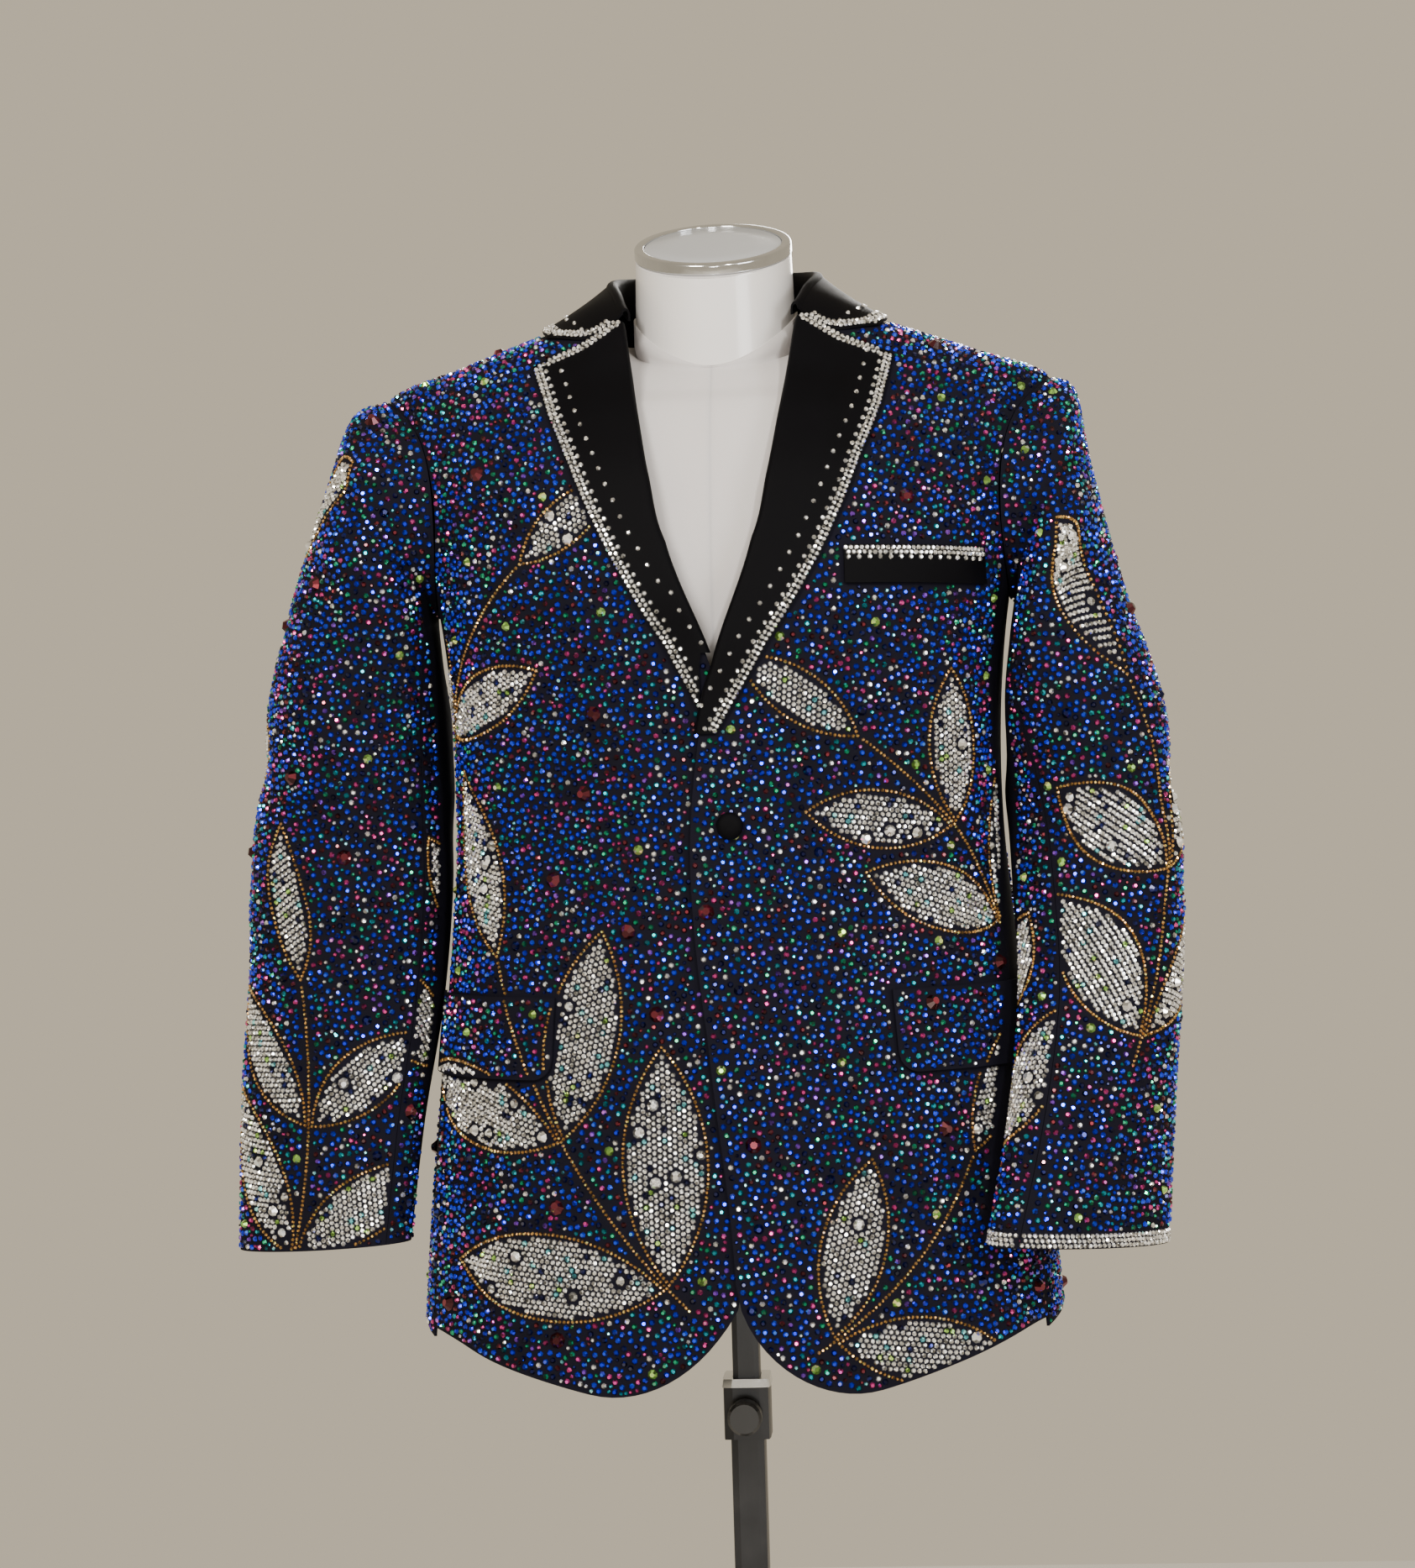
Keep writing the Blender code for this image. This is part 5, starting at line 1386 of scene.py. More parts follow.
@dataclass
class Lapels:
    """Two satin lapels, each bent round the front's edge and flat on the front."""

    form: BodyForm
    edges: dict[int, Table]
    outlines: dict[int, Table]
    bottoms: dict[int, tuple[float, float]]
    roll_top: float = 1.4556
    gorge_top: float = 1.4395
    gorge_share: float = 0.42
    tip: float = 1.4235
    start: float = 0.003
    bend: float = 0.0006
    least: float = 0.010
    lines: int = 72

    def sheet(self, name: str, half: int) -> Sheet:
        """Lattice of one lapel: angles round the bend, then even shares across the flat part."""
        upward = 1 - (1 - np.linspace(0, 1, self.lines)[:, None]) ** 1.4
        shares = np.unique(np.concatenate([np.linspace(0, 1, 15), [self.gorge_share]]))[None, :]
        top = np.interp(shares, [0.0, self.gorge_share, 1.0], [self.roll_top, self.gorge_top, self.tip])
        low_roll, low_edge = self.bottoms[half]
        bottom = low_roll + (low_edge - low_roll) * shares
        height = bottom + (top - bottom) * upward
        rows = self.form.row_at(height)
        roll = edge_at(self.edges[half], height)
        edge = np.maximum(edge_at(self.outlines[half], height), roll + self.least)
        begin = roll + self.start
        x_flat = begin + (edge - begin) * shares
        angles = self.form.angle_at_x(rows, x_flat)
        turn = np.radians(np.array([0.0, 22.5, 45.0, 67.5, 90.0]))
        wrap_rows = rows[:, :1] + 0 * turn
        wrap_height = height[:, :1] + 0 * turn

        def skin(lift: float) -> Array:
            """Lattice of the lapel at a lift."""
            radius = CLOTH + self.bend + lift
            x = edge_at(self.edges[half], wrap_height) - radius * np.cos(turn)
            wrapped = self.form.point(half, self.form.angle_at_x(wrap_rows, x), wrap_rows, radius * np.sin(turn))
            return np.concatenate([wrapped, self.form.point(half, angles, rows, LAYER_LIFT + lift)], axis=1)

        wrap_x = begin[:, :1] - self.start - 0.004 * (1 - turn / turn[-1]) + 0.001
        flat = np.stack([np.concatenate([wrap_x, x_flat], axis=1),
                         np.concatenate([wrap_height, height], axis=1)], axis=-1)
        return Sheet(f"lapel_{name}", skin, flat * np.array([half, 1.0]))


@dataclass
class Collar:
    """Collar: a stand inside the neckline that folds over into a fall on the shoulders."""

    form: BodyForm
    rows: Table = (
        (-45.0, -21.0, 0.0890, 1.4660, 1.4580, 0.1280, 1.4510),
        (-26.0, -9.0, 0.0810, 1.4840, 1.4690, 0.1270, 1.4580),
        (0.0, 8.0, 0.0785, 1.4960, 1.4755, 0.1200, 1.4600),
        (30.0, 33.0, 0.0775, 1.5030, 1.4740, 0.1070, 1.4560),
        (60.0, 61.0, 0.0760, 1.5070, 1.4720, 0.0940, 1.4550),
        (90.0, 90.0, 0.0750, 1.5090, 1.4710, 0.0880, 1.4550),
    )
    fold: float = 0.0034
    centre_y: float = 0.004
    lift: float = 0.0036
    dip: float = 0.0105
    forward: float = 4.0
    steps: int = 8
    fall_steps: int = 12

    def drape(self, x: float, y: float) -> float:
        """Height of the body surface over a point near the shoulders."""
        rows = np.linspace(self.form.shoulder_row - 1, self.form.neck_row, 121)
        depth = self.form.column(2 if y < 0 else 3, rows)
        size = (abs(x) / self.form.column(1, rows)) ** 2 + (abs(y) / depth) ** 2
        return float(self.form.height(rows)[np.argmax(size >= 1.0)])

    def path(self, row: float) -> tuple[Array, Array, Array]:
        """Middle line of the collar's section: angles, radii and heights."""
        values = [float(smooth_rows(column, np.array(row))) for column in np.array(self.rows).T]
        fold_turn, edge_turn, fold_radius, fold_height, seam_height, edge_radius, edge_height = values
        bend = fold_height - self.fold
        radii = [fold_radius - 2 * self.fold] * 3
        heights = [seam_height, (seam_height * 2 + bend) / 3, (seam_height + bend * 2) / 3]
        for turn in np.radians(np.linspace(180, 0, 9)):
            radii.append(fold_radius - self.fold + self.fold * math.cos(turn))
            heights.append(bend + self.fold * math.sin(turn))
        turns = [fold_turn] * len(radii)
        for share in np.linspace(0, 1, self.fall_steps + 1)[1:]:
            front = math.sin(math.pi * share) * max(0.0, 1 - row) ** 2
            radius = fold_radius + (edge_radius - fold_radius) * share
            turn = fold_turn + (edge_turn - fold_turn) * share - self.forward * front
            x = radius * math.cos(math.radians(turn))
            y = self.centre_y + radius * math.sin(math.radians(turn))
            free = bend + (edge_height - bend) * share - self.dip * front
            radii.append(radius)
            heights.append(max(free, self.drape(x, y) + self.lift))
            turns.append(turn)
        heights = np.array(heights)
        fall = heights[-self.fall_steps:]
        heights[-self.fall_steps + 1:-1] = (fall[:-2] + fall[1:-1] * 2 + fall[2:]) / 4
        return np.array(turns), np.array(radii), heights

    def sheet(self) -> Sheet:
        """Lattice of the collar from one front end round the back to the other."""
        last = len(self.rows) - 1
        steps = np.linspace(0, last, self.steps * last + 1)
        paths = [self.path(row) for row in steps]

        def skin(lift: float) -> Array:
            """Lattice of the collar at a lift."""
            lines = []
            for turns, radii, heights in paths:
                along = unit(np.stack([np.gradient(radii), np.gradient(heights)], axis=-1))
                radius = radii - along[:, 1] * lift
                height = heights + along[:, 0] * lift
                x = radius * np.cos(np.radians(turns))
                lines.append(np.stack([x, self.centre_y + radius * np.sin(np.radians(turns)), height], axis=-1))
            one = np.stack(lines)
            return np.concatenate([one, one[:-1][::-1] * np.array([-1.0, 1.0, 1.0])])

        middle = skin(0.0)
        across = row_lengths(middle)
        along = run_length(middle[:, 7])
        return Sheet("collar", skin, np.stack([along[:, None] + 0 * across, across], axis=-1))


@dataclass
class Patches:
    """Flaps of the lower pockets and the welt of the breast pocket."""

    form: BodyForm
    welt: tuple[float, float, float, float] = (0.092, 0.188, 1.286, 0.026)
    flap_start: float = 0.116
    flap_length: float = 0.150
    flap_top: float = 0.980
    flap_depth: float = 0.057
    flap_corner: float = 0.014

    def flap(self, name: str, half: int) -> Sheet:
        """Flap: even steps of length along the ring at its top, with round lower corners."""
        row_top = self.form.row_at(self.flap_top)
        start = float(self.form.angle_at_x(row_top, self.flap_start))
        span = np.linspace(start, 0.0, 200)
        reach = np.linalg.norm(np.diff(self.form.plain(span, row_top + 0 * span), axis=0), axis=1)
        places = self.flap_length * np.linspace(0, 1, 30) ** 1.4
        angles = np.interp(places, np.concatenate([[0.0], np.cumsum(reach)]), span)[None, :]
        share = np.clip(1 - places / self.flap_corner, 0, 1)
        depth = self.flap_depth - self.flap_corner * (1 - np.sqrt(1 - share**2))
        rows = self.form.row_at(self.flap_top - depth[None, :] * np.linspace(0, 1, 14)[:, None])

        def skin(lift: float) -> Array:
            """Lattice of the flap at a lift."""
            return self.form.point(half, angles, rows, PATCH_LIFT + lift)

        return Sheet(f"flap_{name}", skin, self.form.flat(half, angles + 0 * rows, rows))

    def breast(self) -> Sheet:
        """Welt of the breast pocket on the left front."""
        start, end, top, depth = self.welt
        x = start + (end - start) * np.linspace(0, 1, 33)[None, :] ** 0.8
        heights = top - depth * np.linspace(0, 1, 9)[:, None]
        rows = self.form.row_at(heights + 0 * x)
        angles = self.form.angle_at_x(rows, x)

        def skin(lift: float) -> Array:
            """Lattice of the welt at a lift."""
            return self.form.point(+1, angles, rows, PATCH_LIFT + lift)

        return Sheet("breast_welt", skin, self.form.flat(+1, angles, rows))


def turned(profile: Array, sides: int, centre: Array, away: Array) -> tuple[Array, list]:
    """Surface of a profile of (radius, height) turned round a direction, closed at radius 0.

    Args:
        profile: radii and heights.
        sides: number of steps round.
        centre: foot of the axis.
        away: direction of the axis.

    Returns:
        Points and faces.
    """
    along = unit(np.asarray(away, dtype=float))
    helper = np.array([0.0, 0.0, 1.0]) if abs(along[2]) < 0.9 else np.array([1.0, 0.0, 0.0])
    first = unit(np.cross(helper, along))
    second = np.cross(along, first)
    turns = np.arange(sides) * 2 * math.pi / sides
    ring = np.cos(turns)[:, None] * first + np.sin(turns)[:, None] * second
    profile = np.asarray(profile, dtype=float)
    points = centre + profile[:, None, :1] * ring[None] + profile[:, None, 1:] * along
    return points.reshape(-1, 3), ring_faces(len(profile), sides).tolist()


def add_surface(name: str, points: Array, faces: list, finish: bpy.types.Material,
                sharp: float = 40.0) -> bpy.types.Object:
    """Piece from points and faces, with doubles merged and faces turned outward."""
    mesh = bpy.data.meshes.new(name)
    mesh.from_pydata(np.asarray(points).tolist(), [], faces)
    shape = bmesh.new()
    shape.from_mesh(mesh)
    bmesh.ops.remove_doubles(shape, verts=shape.verts, dist=1e-6)
    bmesh.ops.dissolve_degenerate(shape, edges=shape.edges, dist=1e-7)
    bmesh.ops.recalc_face_normals(shape, faces=shape.faces)
    shape.to_mesh(mesh)
    shape.free()
    mesh.shade_smooth()
    mesh.set_sharp_from_angle(angle=math.radians(sharp))
    return add_piece(name, mesh, finish)


@dataclass
class Buttons:
    """Covered front button and the crystal buttons at both cuffs."""

    form: BodyForm
    sleeves: Sleeves
    radius: float = 0.0095
    height: float = 0.0065
    x: float = 0.009
    z: float = 1.096
    cuff_radius: float = 0.0070
    cuff_height: float = 0.0050
    cuff_rows: tuple[float, ...] = (7.22, 7.38, 7.54, 7.70)
    cuff_angle: float = -0.42
    cuff_lift: float = 0.0003

    def front(self, finish: bpy.types.Material) -> bpy.types.Object:
        """Front button: cloth drawn over a dome, with a tucked rim at its foot."""
        row = self.form.row_at(self.z)
        angle = self.form.angle_at_x(row, self.x)
        seat = self.form.point(+1, np.array([angle]), np.array([row]), CLOTH / 2 + 0.0008)[0]
        away = self.form.normal(np.array([angle]), np.array([row]))[0]
        turns = np.linspace(0, math.pi / 2, 12)
        dome = np.stack([self.radius * np.cos(turns) ** 0.75, self.height * (0.32 + 0.68 * np.sin(turns))], axis=-1)
        foot = np.array([[0, 0], [0.80, 0], [0.90, 0.06], [0.97, 0.18]]) * np.array([self.radius, self.height])
        points, faces = turned(np.concatenate([foot, dome]), 48, seat, away)
        piece = add_surface("front_button_cover", points, faces, finish, 60)
        places = np.empty(len(piece.data.vertices) * 3, dtype=np.float32)
        piece.data.vertices.foreach_get("co", places)
        sideways = unit(np.cross([0, 0, 1], away))
        map_cloth(piece.data, (places.reshape(-1, 3) - seat) @ np.stack([sideways, [0.0, 0.0, 1.0]]).T)
        return piece

    def cuffs(self, name: str, finish: bpy.types.Material) -> list[bpy.types.Object]:
        """Four faceted crystal buttons beside a cuff's back seam."""
        form = self.sleeves.forms[name]
        made = []
        for number, row in enumerate(self.cuff_rows, 1):
            place = np.array([self.cuff_angle]), np.array([row])
            seat = form.point(*place, CLOTH / 2 + self.cuff_lift)[0]
            away = form.normal(*place)[0] * np.array([form.half, 1, 1])
            profile = np.array([[0, 0], [0.92, 0], [1.0, 0.25], [0.78, 0.66], [0.45, 1.0], [0, 1.0]])
            points, faces = turned(profile * np.array([self.cuff_radius, self.cuff_height]), 16, seat, away)
            piece = add_surface(f"cuff_stud_{name}_{number}", points, faces, finish, 5)
            piece.data.shade_flat()
            count = len(piece.data.polygons)
            sizes = np.empty(count, dtype=np.int32)
            piece.data.polygons.foreach_get("loop_total", sizes)
            # painted glints: each facet of the crystal gets a random brightness as if it caught light
            painted_glint = np.exp(np.random.default_rng(number).normal(-0.3, 0.5, (count, 1)))
            paint_facets(piece.data, sizes, np.clip(np.array(CRYSTAL) * painted_glint, 0, 1))
            made.append(piece)
        return made


@dataclass
class DressForm:
    """Covered torso, glossy neck block, chrome rim and tilted cap."""

    body: BodyForm
    rings: Table = (
        (0.800, 0.160, 0.108, 0.110, 0.000, 2.2),
        (0.835, 0.168, 0.115, 0.118, 0.000, 2.2),
        (0.920, 0.170, 0.117, 0.120, 0.000, 2.2),
        (1.020, 0.152, 0.106, 0.102, 0.000, 2.2),
        (1.095, 0.143, 0.101, 0.094, 0.000, 2.2),
        (1.180, 0.153, 0.111, 0.101, 0.000, 2.2),
        (1.265, 0.170, 0.122, 0.110, 0.000, 2.2),
        (1.330, 0.188, 0.112, 0.110, 0.004, 2.2),
        (1.372, 0.205, 0.096, 0.103, 0.012, 2.1),
        (1.392, 0.206, 0.086, 0.095, 0.022, 2.0),
    )
    shoulder_x: float = 0.190
    drop: float = 0.0019
    neck_x: float = 0.0590
    neck_y: float = 0.0600
    base: float = 1.442
    slope: float = 0.34
    top: float = 1.511
    tilt: float = math.radians(25)
    cap_radius: float = 0.0575
    rim: float = 0.007
    cap_height: float = 0.008
    cap_y: float = -0.006
    cap_space: float = 0.0004
    cover_rise: float = 0.024
    sides: int = 96
    finer: int = 5
    soft_rows: int = 12
    soft_passes: int = 30

    def level(self, turns: Array, values: Array) -> Array:
        """Ring whose sides rise above its front and back."""
        height, half, front, back, rise, square = values
        cosine, sine = np.cos(turns), np.sin(turns)
        x = half * power(cosine, 2 / square)
        y = -np.where(sine > 0, front, back) * power(sine, 2 / square)
        return np.stack([x, y, height + rise * np.abs(cosine) ** 2], axis=-1)

    def neck(self, turns: Array, scale: float, height: float, slope: float) -> Array:
        """Ring round the neck on a plane that rises towards the back."""
        x = self.neck_x * scale * np.cos(turns)
        y = -self.neck_y * scale * np.sin(turns)
        return np.stack([x, y, height + slope * y], axis=-1)

    def shoulder(self, x: float) -> float:
        """Height of the cloth's shoulder line at this distance from the middle."""
        rows = np.linspace(self.body.shoulder_row, self.body.neck_row, 61)
        return float(np.interp(x, self.body.column(1, rows)[::-1], self.body.height(rows)[::-1]))

    def torso(self, finish: bpy.types.Material) -> bpy.types.Object:
        """Torso: a cubic curve through its rings at each angle, then straight rings up to the neck.

        The rows about the joint of both parts are averaged with their neighbours a few times.
        """
        turns = np.arange(self.sides) * 2 * math.pi / self.sides
        rings = [self.level(turns, values) for values in self.rings]
        base = self.neck(turns, 1.0, self.base, self.slope)
        height, _, front, back, _, _ = self.rings[-1]
        for share in (0.0, 0.32, 0.64):
            half = self.shoulder_x + (self.neck_x - self.shoulder_x) * share
            ring = self.level(turns, (height + 0.006, half, front - 0.004, back - 0.004, 0.0, 2.0))
            ring = ring + (base - ring) * share * np.array([0.0, 0.8, share])
            ring[:, 2] += (self.shoulder(half) - self.drop - ring[0, 2]) * np.abs(np.cos(turns)) ** 4
            rings.append(ring)
        rings.append(base)
        stack = np.stack(rings)
        low = np.linspace(0, 9, 9 * self.finer + 1)
        lower = smooth_rows(stack[:11], low)
        upper = np.linspace(9, len(stack) - 1, 4 * self.finer + 1)[1:]
        cell = np.minimum(upper.astype(int), len(stack) - 2)
        part = (upper - cell)[:, None, None]
        lattice = np.concatenate([lower, stack[cell] * (1 - part) + stack[cell + 1] * part])
        soft = slice(len(lower) - self.soft_rows, len(lower) + self.soft_rows)
        for _ in range(self.soft_passes):
            lattice[soft] = (lattice[soft.start - 1:soft.stop - 1] + 2 * lattice[soft]
                             + lattice[soft.start + 1:soft.stop + 1]) / 4
        rise = self.cover_rise * np.abs(np.cos(turns)) ** 1.6
        for share, scale in ((0.25, 1.018), (1.0, 1.018), (1.0, 1.004)):
            ring = self.neck(turns, scale, self.base, self.slope)
            ring[:, 2] += 0.0012 + rise * share
            lattice = np.concatenate([lattice, ring[None]])
        points, faces = closed_loft(lattice)
        return add_surface("form_torso", points, faces, finish, 85)

    def neck_block(self, finish: bpy.types.Material) -> bpy.types.Object:
        """Neck block: rings that turn from the neck's base plane to the cap's plane."""
        turns = np.arange(self.sides) * 2 * math.pi / self.sides
        lift = np.array([0.0, 0.0, SEAM_GAP])
        rings = [self.neck(turns, 0.985, self.base, self.slope) + lift]
        rings.append(self.neck(turns, 1.0, self.base + 0.0012, self.slope) + lift)
        for share in np.linspace(0.1, 1.0, 14):
            slope = self.slope + (math.tan(self.tilt) - self.slope) * share
            level = self.base + (self.top - self.base) * share
            ring = self.neck(turns, 1.0 - 0.035 * share, level, slope)
            rings.append(ring + lift + np.array([0.0, self.cap_y * share, 0.0]))
        rings.append(rings[-1] + (rings[-1].mean(axis=0) - rings[-1]) * 0.02)
        points, faces = closed_loft(np.stack(rings))
        return add_surface("neck_form", points, faces, finish, 35)

    def cap(self, chrome: bpy.types.Material, plate: bpy.types.Material) -> list[bpy.types.Object]:
        """Chrome rim with rounded edges, and the plate inside it."""
        lean = np.array([0.0, -math.sin(self.tilt), math.cos(self.tilt)])
        seat = np.array([0.0, self.cap_y, self.top + SEAM_GAP]) + lean * self.cap_space
        radius, inner, tall = self.cap_radius, self.cap_radius - self.rim, self.cap_height
        turns = np.linspace(0, math.pi / 2, 6)
        outer = np.stack([radius - 0.002 + 0.002 * np.cos(turns), tall - 0.002 + 0.002 * np.sin(turns)], axis=-1)
        inside = np.stack([inner + 0.001 - 0.001 * np.sin(turns), tall - 0.001 + 0.001 * np.cos(turns)], axis=-1)
        profile = np.concatenate([[[inner, 0.0], [radius - 0.0006, 0.0], [radius, 0.0006]], outer, inside,
                                  [[inner, 0.0]]])
        points, faces = turned(profile, self.sides, seat, lean)
        rim = add_surface("neck_chrome", points, faces, chrome, 35)
        edge = inner - SEAM_GAP
        dish = np.array([[0, 0], [edge, 0], [edge, tall - 0.0016], [edge - 0.0008, tall - 0.0011],
                         [edge * 0.6, tall - 0.0010], [0, tall - 0.0010]])
        points, faces = turned(dish, self.sides, seat, lean)
        return [rim, add_surface("neck_plate", points, faces, plate, 35)]


def closed_loft(lattice: Array) -> tuple[Array, list]:
    """Points and faces of a loft through rings, with flat ends."""
    levels, count = lattice.shape[:2]
    ends = [list(range(count)), list(range((levels - 1) * count, levels * count))]
    return lattice.reshape(-1, 3), ring_faces(levels, count).tolist() + ends


@dataclass
class Studio:
    """Pale floor, soft lights and a camera at the photograph's angle."""

    turn: float = math.radians(4.0)
    roll: float = math.radians(1.7)
    distance: float = 2.2
    height: float = 1.125
    focal: float = 3577.0
    middle: tuple[float, float] = (868.7, 933.0)
    image: tuple[float, float] = (1685.0, 1867.0)
    floor_size: float = 4.2
    lamps: tuple[tuple, ...] = (
        ("key", (-0.9, -2.4, 2.5), 1.1, 0.7, 70, (1.0, 0.96, 0.90)),
        ("spark", (0.9, -2.2, 2.3), 1.1, 0.16, 30, (1.0, 0.98, 0.95)),
        ("fill", (1.9, -1.8, 1.6), 1.1, 0.9, 28, (0.96, 0.97, 1.0)),
        ("low_front", (0.2, -2.6, 0.7), 1.0, 0.5, 16, (1.0, 0.98, 0.95)),
        ("back", (0.4, 2.4, 2.3), 1.1, 1.0, 55, (1.0, 0.97, 0.93)),
    )

    def camera(self) -> None:
        """Level camera turned round the pole's axis and rolled a little."""
        data = bpy.data.cameras.new("camera")
        data.sensor_fit = "VERTICAL"
        data.sensor_height = 24.0
        data.lens = self.focal / self.image[1] * 24.0
        data.shift_x = (self.image[0] / 2 - self.middle[0]) / self.image[1]
        data.shift_y = (self.middle[1] - self.image[1] / 2) / self.image[1]
        data.clip_start = 0.05
        view = bpy.data.objects.new("camera", data)
        place = Vector((self.distance * math.sin(self.turn), -self.distance * math.cos(self.turn), self.height))
        turned_view = Matrix.Rotation(self.turn, 4, "Z") @ Matrix.Rotation(math.pi / 2, 4, "X")
        view.matrix_world = Matrix.Translation(place) @ turned_view @ Matrix.Rotation(-self.roll, 4, "Z")
        bpy.context.scene.collection.objects.link(view)
        bpy.context.scene.camera = view

    def light(self, name: str, place: tuple[float, float, float], aim: tuple[float, float, float], size: float,
              watts: float, colour: Colour) -> None:
        """Square soft light that faces a point."""
        data = bpy.data.lights.new(name, "AREA")
        data.shape = "SQUARE"
        data.size = size
        data.energy = watts
        data.color = colour
        lamp = bpy.data.objects.new(name, data)
        lamp.location = place
        lamp.rotation_euler = (Vector(aim) - Vector(place)).to_track_quat("-Z", "Y").to_euler()
        bpy.context.scene.collection.objects.link(lamp)

    def build(self) -> None:
        """Floor, world, lights and camera."""
        pen = Pen("pale_floor")
        tone = pen.blend(pen.noise(2.0), (0.50, 0.47, 0.42), (0.56, 0.53, 0.47))
        finish = pen.close(Base_Color=tone, Roughness=0.8)
        half = self.floor_size / 2
        mesh = bpy.data.meshes.new("floor")
        mesh.from_pydata([(-half, -half, 0), (half, -half, 0), (half, half, 0), (-half, half, 0)], [], [(0, 1, 2, 3)])
        add_piece("floor", mesh, finish)
        world = bpy.data.worlds.new("studio")
        world.use_nodes = True
        shade = world.node_tree.nodes["Background"]
        shade.inputs["Color"].default_value = (0.53, 0.46, 0.345, 1.0)
        shade.inputs["Strength"].default_value = 1.12
        bpy.context.scene.world = world
        for name, place, level, size, watts, colour in self.lamps:
            self.light(name, place, (0.0, 0.0, level), size, watts, colour)
        self.camera()


ROLL_LINE: Table = ((1.293, 0.0330), (1.338, 0.0440), (1.378, 0.0515), (1.415, 0.0580), (1.450, 0.0635),
                    (1.472, 0.0690))
FRONT_EDGE: dict[int, Table] = {
    +1: ((0.690, 0.004), (0.800, 0.004), (0.950, -0.010), (1.035, -0.018), (1.095, -0.018), (1.160, -0.010),
         (1.205, 0.003)) + ROLL_LINE,
    -1: ((0.690, -0.008), (0.800, -0.010), (0.950, -0.022), (1.035, -0.028), (1.095, -0.026), (1.160, -0.016),
         (1.205, 0.001)) + ROLL_LINE,
}
LAPEL_EDGE: dict[int, Table] = {
    +1: ((1.156, 0.000), (1.220, 0.038), (1.270, 0.070), (1.310, 0.090), (1.350, 0.106), (1.385, 0.120),
         (1.430, 0.131)),
    -1: ((1.156, 0.000), (1.220, 0.032), (1.270, 0.061), (1.310, 0.081), (1.350, 0.098), (1.385, 0.113),
         (1.430, 0.129)),
}
LEFT_SLEEVE: Table = (
    (0.258, 0.000, 1.401, 0.2125, -0.010, 1.255, 0.073),
    (0.268, 0.002, 1.345, 0.2075, -0.024, 1.222, 0.076),
    (0.287, 0.002, 1.265, 0.2025, -0.036, 1.170, 0.073),
    (0.309, -0.002, 1.176, 0.2080, -0.036, 1.105, 0.069),
    (0.313, -0.010, 1.093, 0.2110, -0.062, 1.045, 0.060),
    (0.314, -0.028, 1.000, 0.2120, -0.095, 0.970, 0.048),
    (0.307, -0.050, 0.905, 0.200, -0.127, 0.890, 0.038),
    (0.300, -0.070, 0.796, 0.180, -0.151, 0.806, 0.032),
)
RIGHT_SLEEVE: Table = (
    (0.266, 0.000, 1.401, 0.2125, -0.010, 1.255, 0.073),
    (0.288, 0.002, 1.345, 0.2085, -0.020, 1.222, 0.076),
    (0.315, 0.004, 1.267, 0.2070, -0.012, 1.170, 0.073),
    (0.337, 0.004, 1.181, 0.2070, -0.014, 1.110, 0.068),
    (0.348, 0.002, 1.100, 0.207, -0.018, 1.050, 0.061),
    (0.354, -0.004, 1.000, 0.214, -0.030, 0.970, 0.052),
    (0.361, -0.014, 0.905, 0.227, -0.046, 0.890, 0.042),
    (0.364, -0.024, 0.796, 0.237, -0.062, 0.804, 0.034),
)
SINGLES = 0.0190          # distance of the single stones from a satin edge
BODY_SPRAYS = (
    Spray((-0.028, 0.765), (-0.175, 1.035), 0.022, 2, 0.165, 0.060),
    Spray((0.225, 1.010), (0.085, 1.165), -0.014, 2, 0.120, 0.045),
    Spray((0.060, 0.735), (0.185, 0.880), -0.015, 1, 0.125, 0.046),
    Spray((-0.235, 1.155), (-0.125, 1.290), 0.012, 1, 0.110, 0.042),
    Spray((0.535, 0.790), (0.430, 1.140), 0.030, 3, 0.150, 0.054),
    Spray((-0.520, 1.000), (-0.410, 1.290), 0.026, 2, 0.150, 0.054),
)
LEFT_SLEEVE_SPRAYS = (
    Spray((0.085, -0.430), (0.090, -0.150), 0.018, 2, 0.145, 0.052),
    Spray((-0.150, -0.500), (-0.130, -0.250), -0.015, 2, 0.120, 0.044),
)
RIGHT_SLEEVE_SPRAYS = (
    Spray((0.070, -0.570), (0.080, -0.340), -0.014, 2, 0.125, 0.046),
    Spray((-0.060, -0.290), (0.030, -0.090), 0.014, 1, 0.120, 0.046),
    Spray((-0.180, -0.430), (-0.160, -0.180), 0.012, 2, 0.120, 0.044),
)


def dress(piece: bpy.types.Object, nodes: Sequence[str], slot: str, body: str = "mast") -> None:
    """Tie a piece to its body and hide the nodes it stands for; slot is not used."""
    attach(piece, body)
    if nodes:
        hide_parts(*nodes)
    LOG.info("%s: %d faces", piece.name, len(piece.data.polygons))


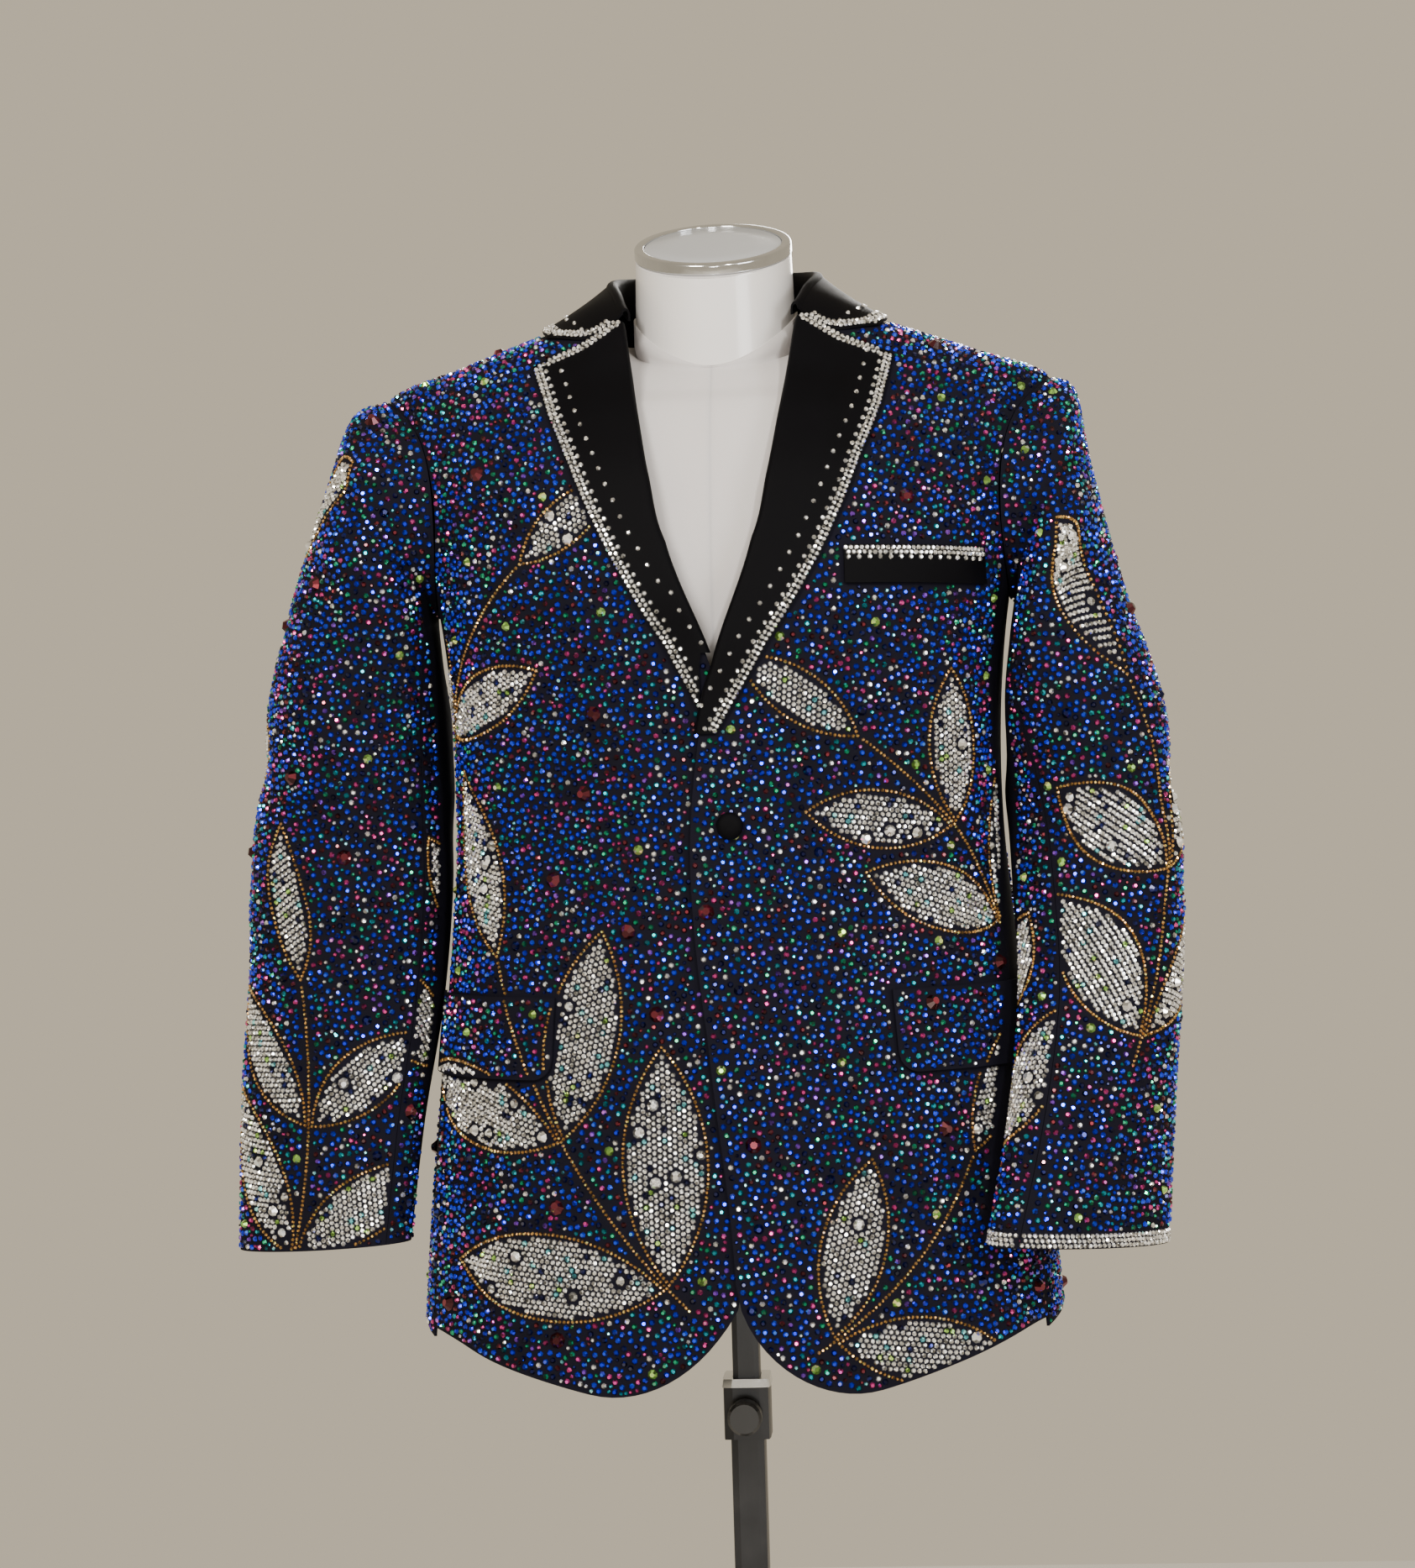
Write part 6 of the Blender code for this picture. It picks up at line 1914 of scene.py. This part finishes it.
def main() -> None:
    """Build the whole scene, assembly by assembly."""
    logging.basicConfig(level=logging.INFO, format="%(message)s")
    form, arm = BodyForm(), Armhole()
    ground, satin, stones = StonedCloth().make(), SatinCloth().make(), FacetedStones().make()
    body = JacketBody(form, arm, FRONT_EDGE).sheets()
    sleeve_forms = {"left": SleeveForm(+1, LEFT_SLEEVE, form, arm), "right": SleeveForm(-1, RIGHT_SLEEVE, form, arm)}
    sleeves = Sleeves(sleeve_forms)
    tubes = sleeves.sheets()
    lapel_maker = Lapels(form, FRONT_EDGE, LAPEL_EDGE, {+1: (1.160, 1.160), -1: (1.215, 1.172)})
    lapels = {f"lapel_{name}": lapel_maker.sheet(name, half) for name, half in HALVES.items()}
    collar = Collar(form).sheet()
    patch_maker = Patches(form)
    flaps = {f"flap_{name}": patch_maker.flap(name, half) for name, half in HALVES.items()}
    welt = patch_maker.breast()

    everything = {**body, **tubes, **lapels, **flaps, "collar": collar, "breast_welt": welt}
    trees = {name: sheet.tree() for name, sheet in everything.items()}
    stoning = Stoning(stones)
    body_motifs = Motifs(BODY_SPRAYS, np.random.default_rng(5))
    sleeve_motifs = {"left": Motifs(LEFT_SLEEVE_SPRAYS, np.random.default_rng(6)),
                     "right": Motifs(RIGHT_SLEEVE_SPRAYS, np.random.default_rng(7))}
    seed = 100
    beds: dict[str, StoneBed] = {}
    for name in HALVES:
        tops = [trees[f"sleeve_top_{name}"], trees[f"sleeve_under_{name}"]]
        over = [trees[f"lapel_{name}"], trees[f"flap_{name}"], trees["collar"]] + tops
        over += [trees[label] for label in (["breast_welt"] if name == "left" else ["front_left", "lapel_left"])]
        beds[f"front_{name}"] = stoning.cover(body[f"front_{name}"], body_motifs, over, seed)
        beds[f"side_{name}"] = stoning.cover(body[f"side_{name}"], body_motifs, tops, seed + 1)
        beds[f"back_{name}"] = stoning.cover(body[f"back_{name}"], body_motifs, tops + [trees["collar"]], seed + 2)
        beds[f"flap_{name}"] = stoning.cover(flaps[f"flap_{name}"], body_motifs, tops, seed + 3)
        around = [trees[f"{piece}_{name}"] for piece in ("front", "side", "back")]
        for number, piece in enumerate(("sleeve_top", "sleeve_under")):
            label = f"{piece}_{name}"
            hems = (Side.LAST_ROW,) if name == "left" else ()
            beds[label] = stoning.cover(tubes[label], sleeve_motifs[name], around, seed + 4 + number, hems=hems)
        seed += 10
    LOG.info("%d stones on the cloth", stoning.total)

    outer = (Side.LAST_COLUMN, 2, True, SINGLES)
    short = (Side.LAST_ROW, 2, False, 0.0, (0.006, 0.010))
    fronts = [(side, 2, False, 0.0, (0.030, 0.010)) for side in (Side.FIRST_ROW, Side.LAST_ROW)]
    satins = {**lapels, "collar": collar, "breast_welt": welt}
    borders = {"lapel_left": (300, [outer, short]), "lapel_right": (301, [outer, short]),
               "collar": (310, [outer, *fronts]),
               "breast_welt": (311, [(Side.FIRST_ROW, 2, True, 0.0, (0.001, 0.001))])}
    trims: dict[str, StoneBed] = {}
    for name, (own_seed, edges) in borders.items():
        trims[name] = StoneBed(f"trim_{name}", np.random.default_rng(own_seed))
        for edge in edges:
            trim_edge(trims[name], satins[name], *edge)

    for group, finish, slot in (({**body, **tubes, **flaps}, ground, "stoned_cloth"), (satins, satin, "black_satin")):
        for name, sheet in group.items():
            piece = sheet.build(finish)
            piece.name = f"cloth_{name}"
            dress(piece, [name], slot)
    on_cloth = {name: bed.build(stones) for name, bed in {**beds, **trims}.items()}
    for piece in on_cloth.values():
        dress(piece, [], "crystal")

    buttons = Buttons(form, sleeves)
    dress(buttons.front(satin), ["front_button"], "black_satin")
    for name in HALVES:
        for number, piece in enumerate(buttons.cuffs(name, stones), 1):
            dress(piece, [f"cuff_button_{name}_{number}"], "crystal")

    maker = DressForm(form)
    gloss = Enamel("white_gloss", (0.76, 0.73, 0.71), (0.70, 0.68, 0.66), 0.22)
    plate = Enamel("grey_plate", (0.44, 0.45, 0.46), (0.38, 0.39, 0.41), 0.28)
    chrome = Metal("bright_chrome", (0.66, 0.67, 0.68), (0.50, 0.51, 0.52), 1.0, 0.06)
    black = Metal("black_paint", (0.010, 0.010, 0.011), (0.030, 0.030, 0.031), 0.35, 0.30)
    moulded = Enamel("black_moulding", (0.014, 0.014, 0.015), (0.009, 0.009, 0.010), 0.38)
    chrome_finish, black_finish = chrome.make(), black.make()
    dress(maker.torso(Jersey().make()), ["torso"], "form_cover")
    dress(maker.neck_block(gloss.make()), ["neck_block"], "form_gloss")
    rim, cap = maker.cap(chrome_finish, plate.make())
    dress(rim, ["neck_rim"], "chrome")
    dress(cap, ["neck_cap"], "form_gloss")
    finishes = {"base_plate": black_finish, "pole_foot": black_finish, "pole_tube": black_finish,
                "pole_slide": black_finish, "clamp_body": black_finish, "clamp_band": chrome_finish,
                "clamp_boss": chrome_finish, "clamp_knob": moulded.make()}
    for name, finish in finishes.items():
        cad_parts[name].material_slots[0].material = finish

    Studio().build()


if __name__ == "__main__":
    main()
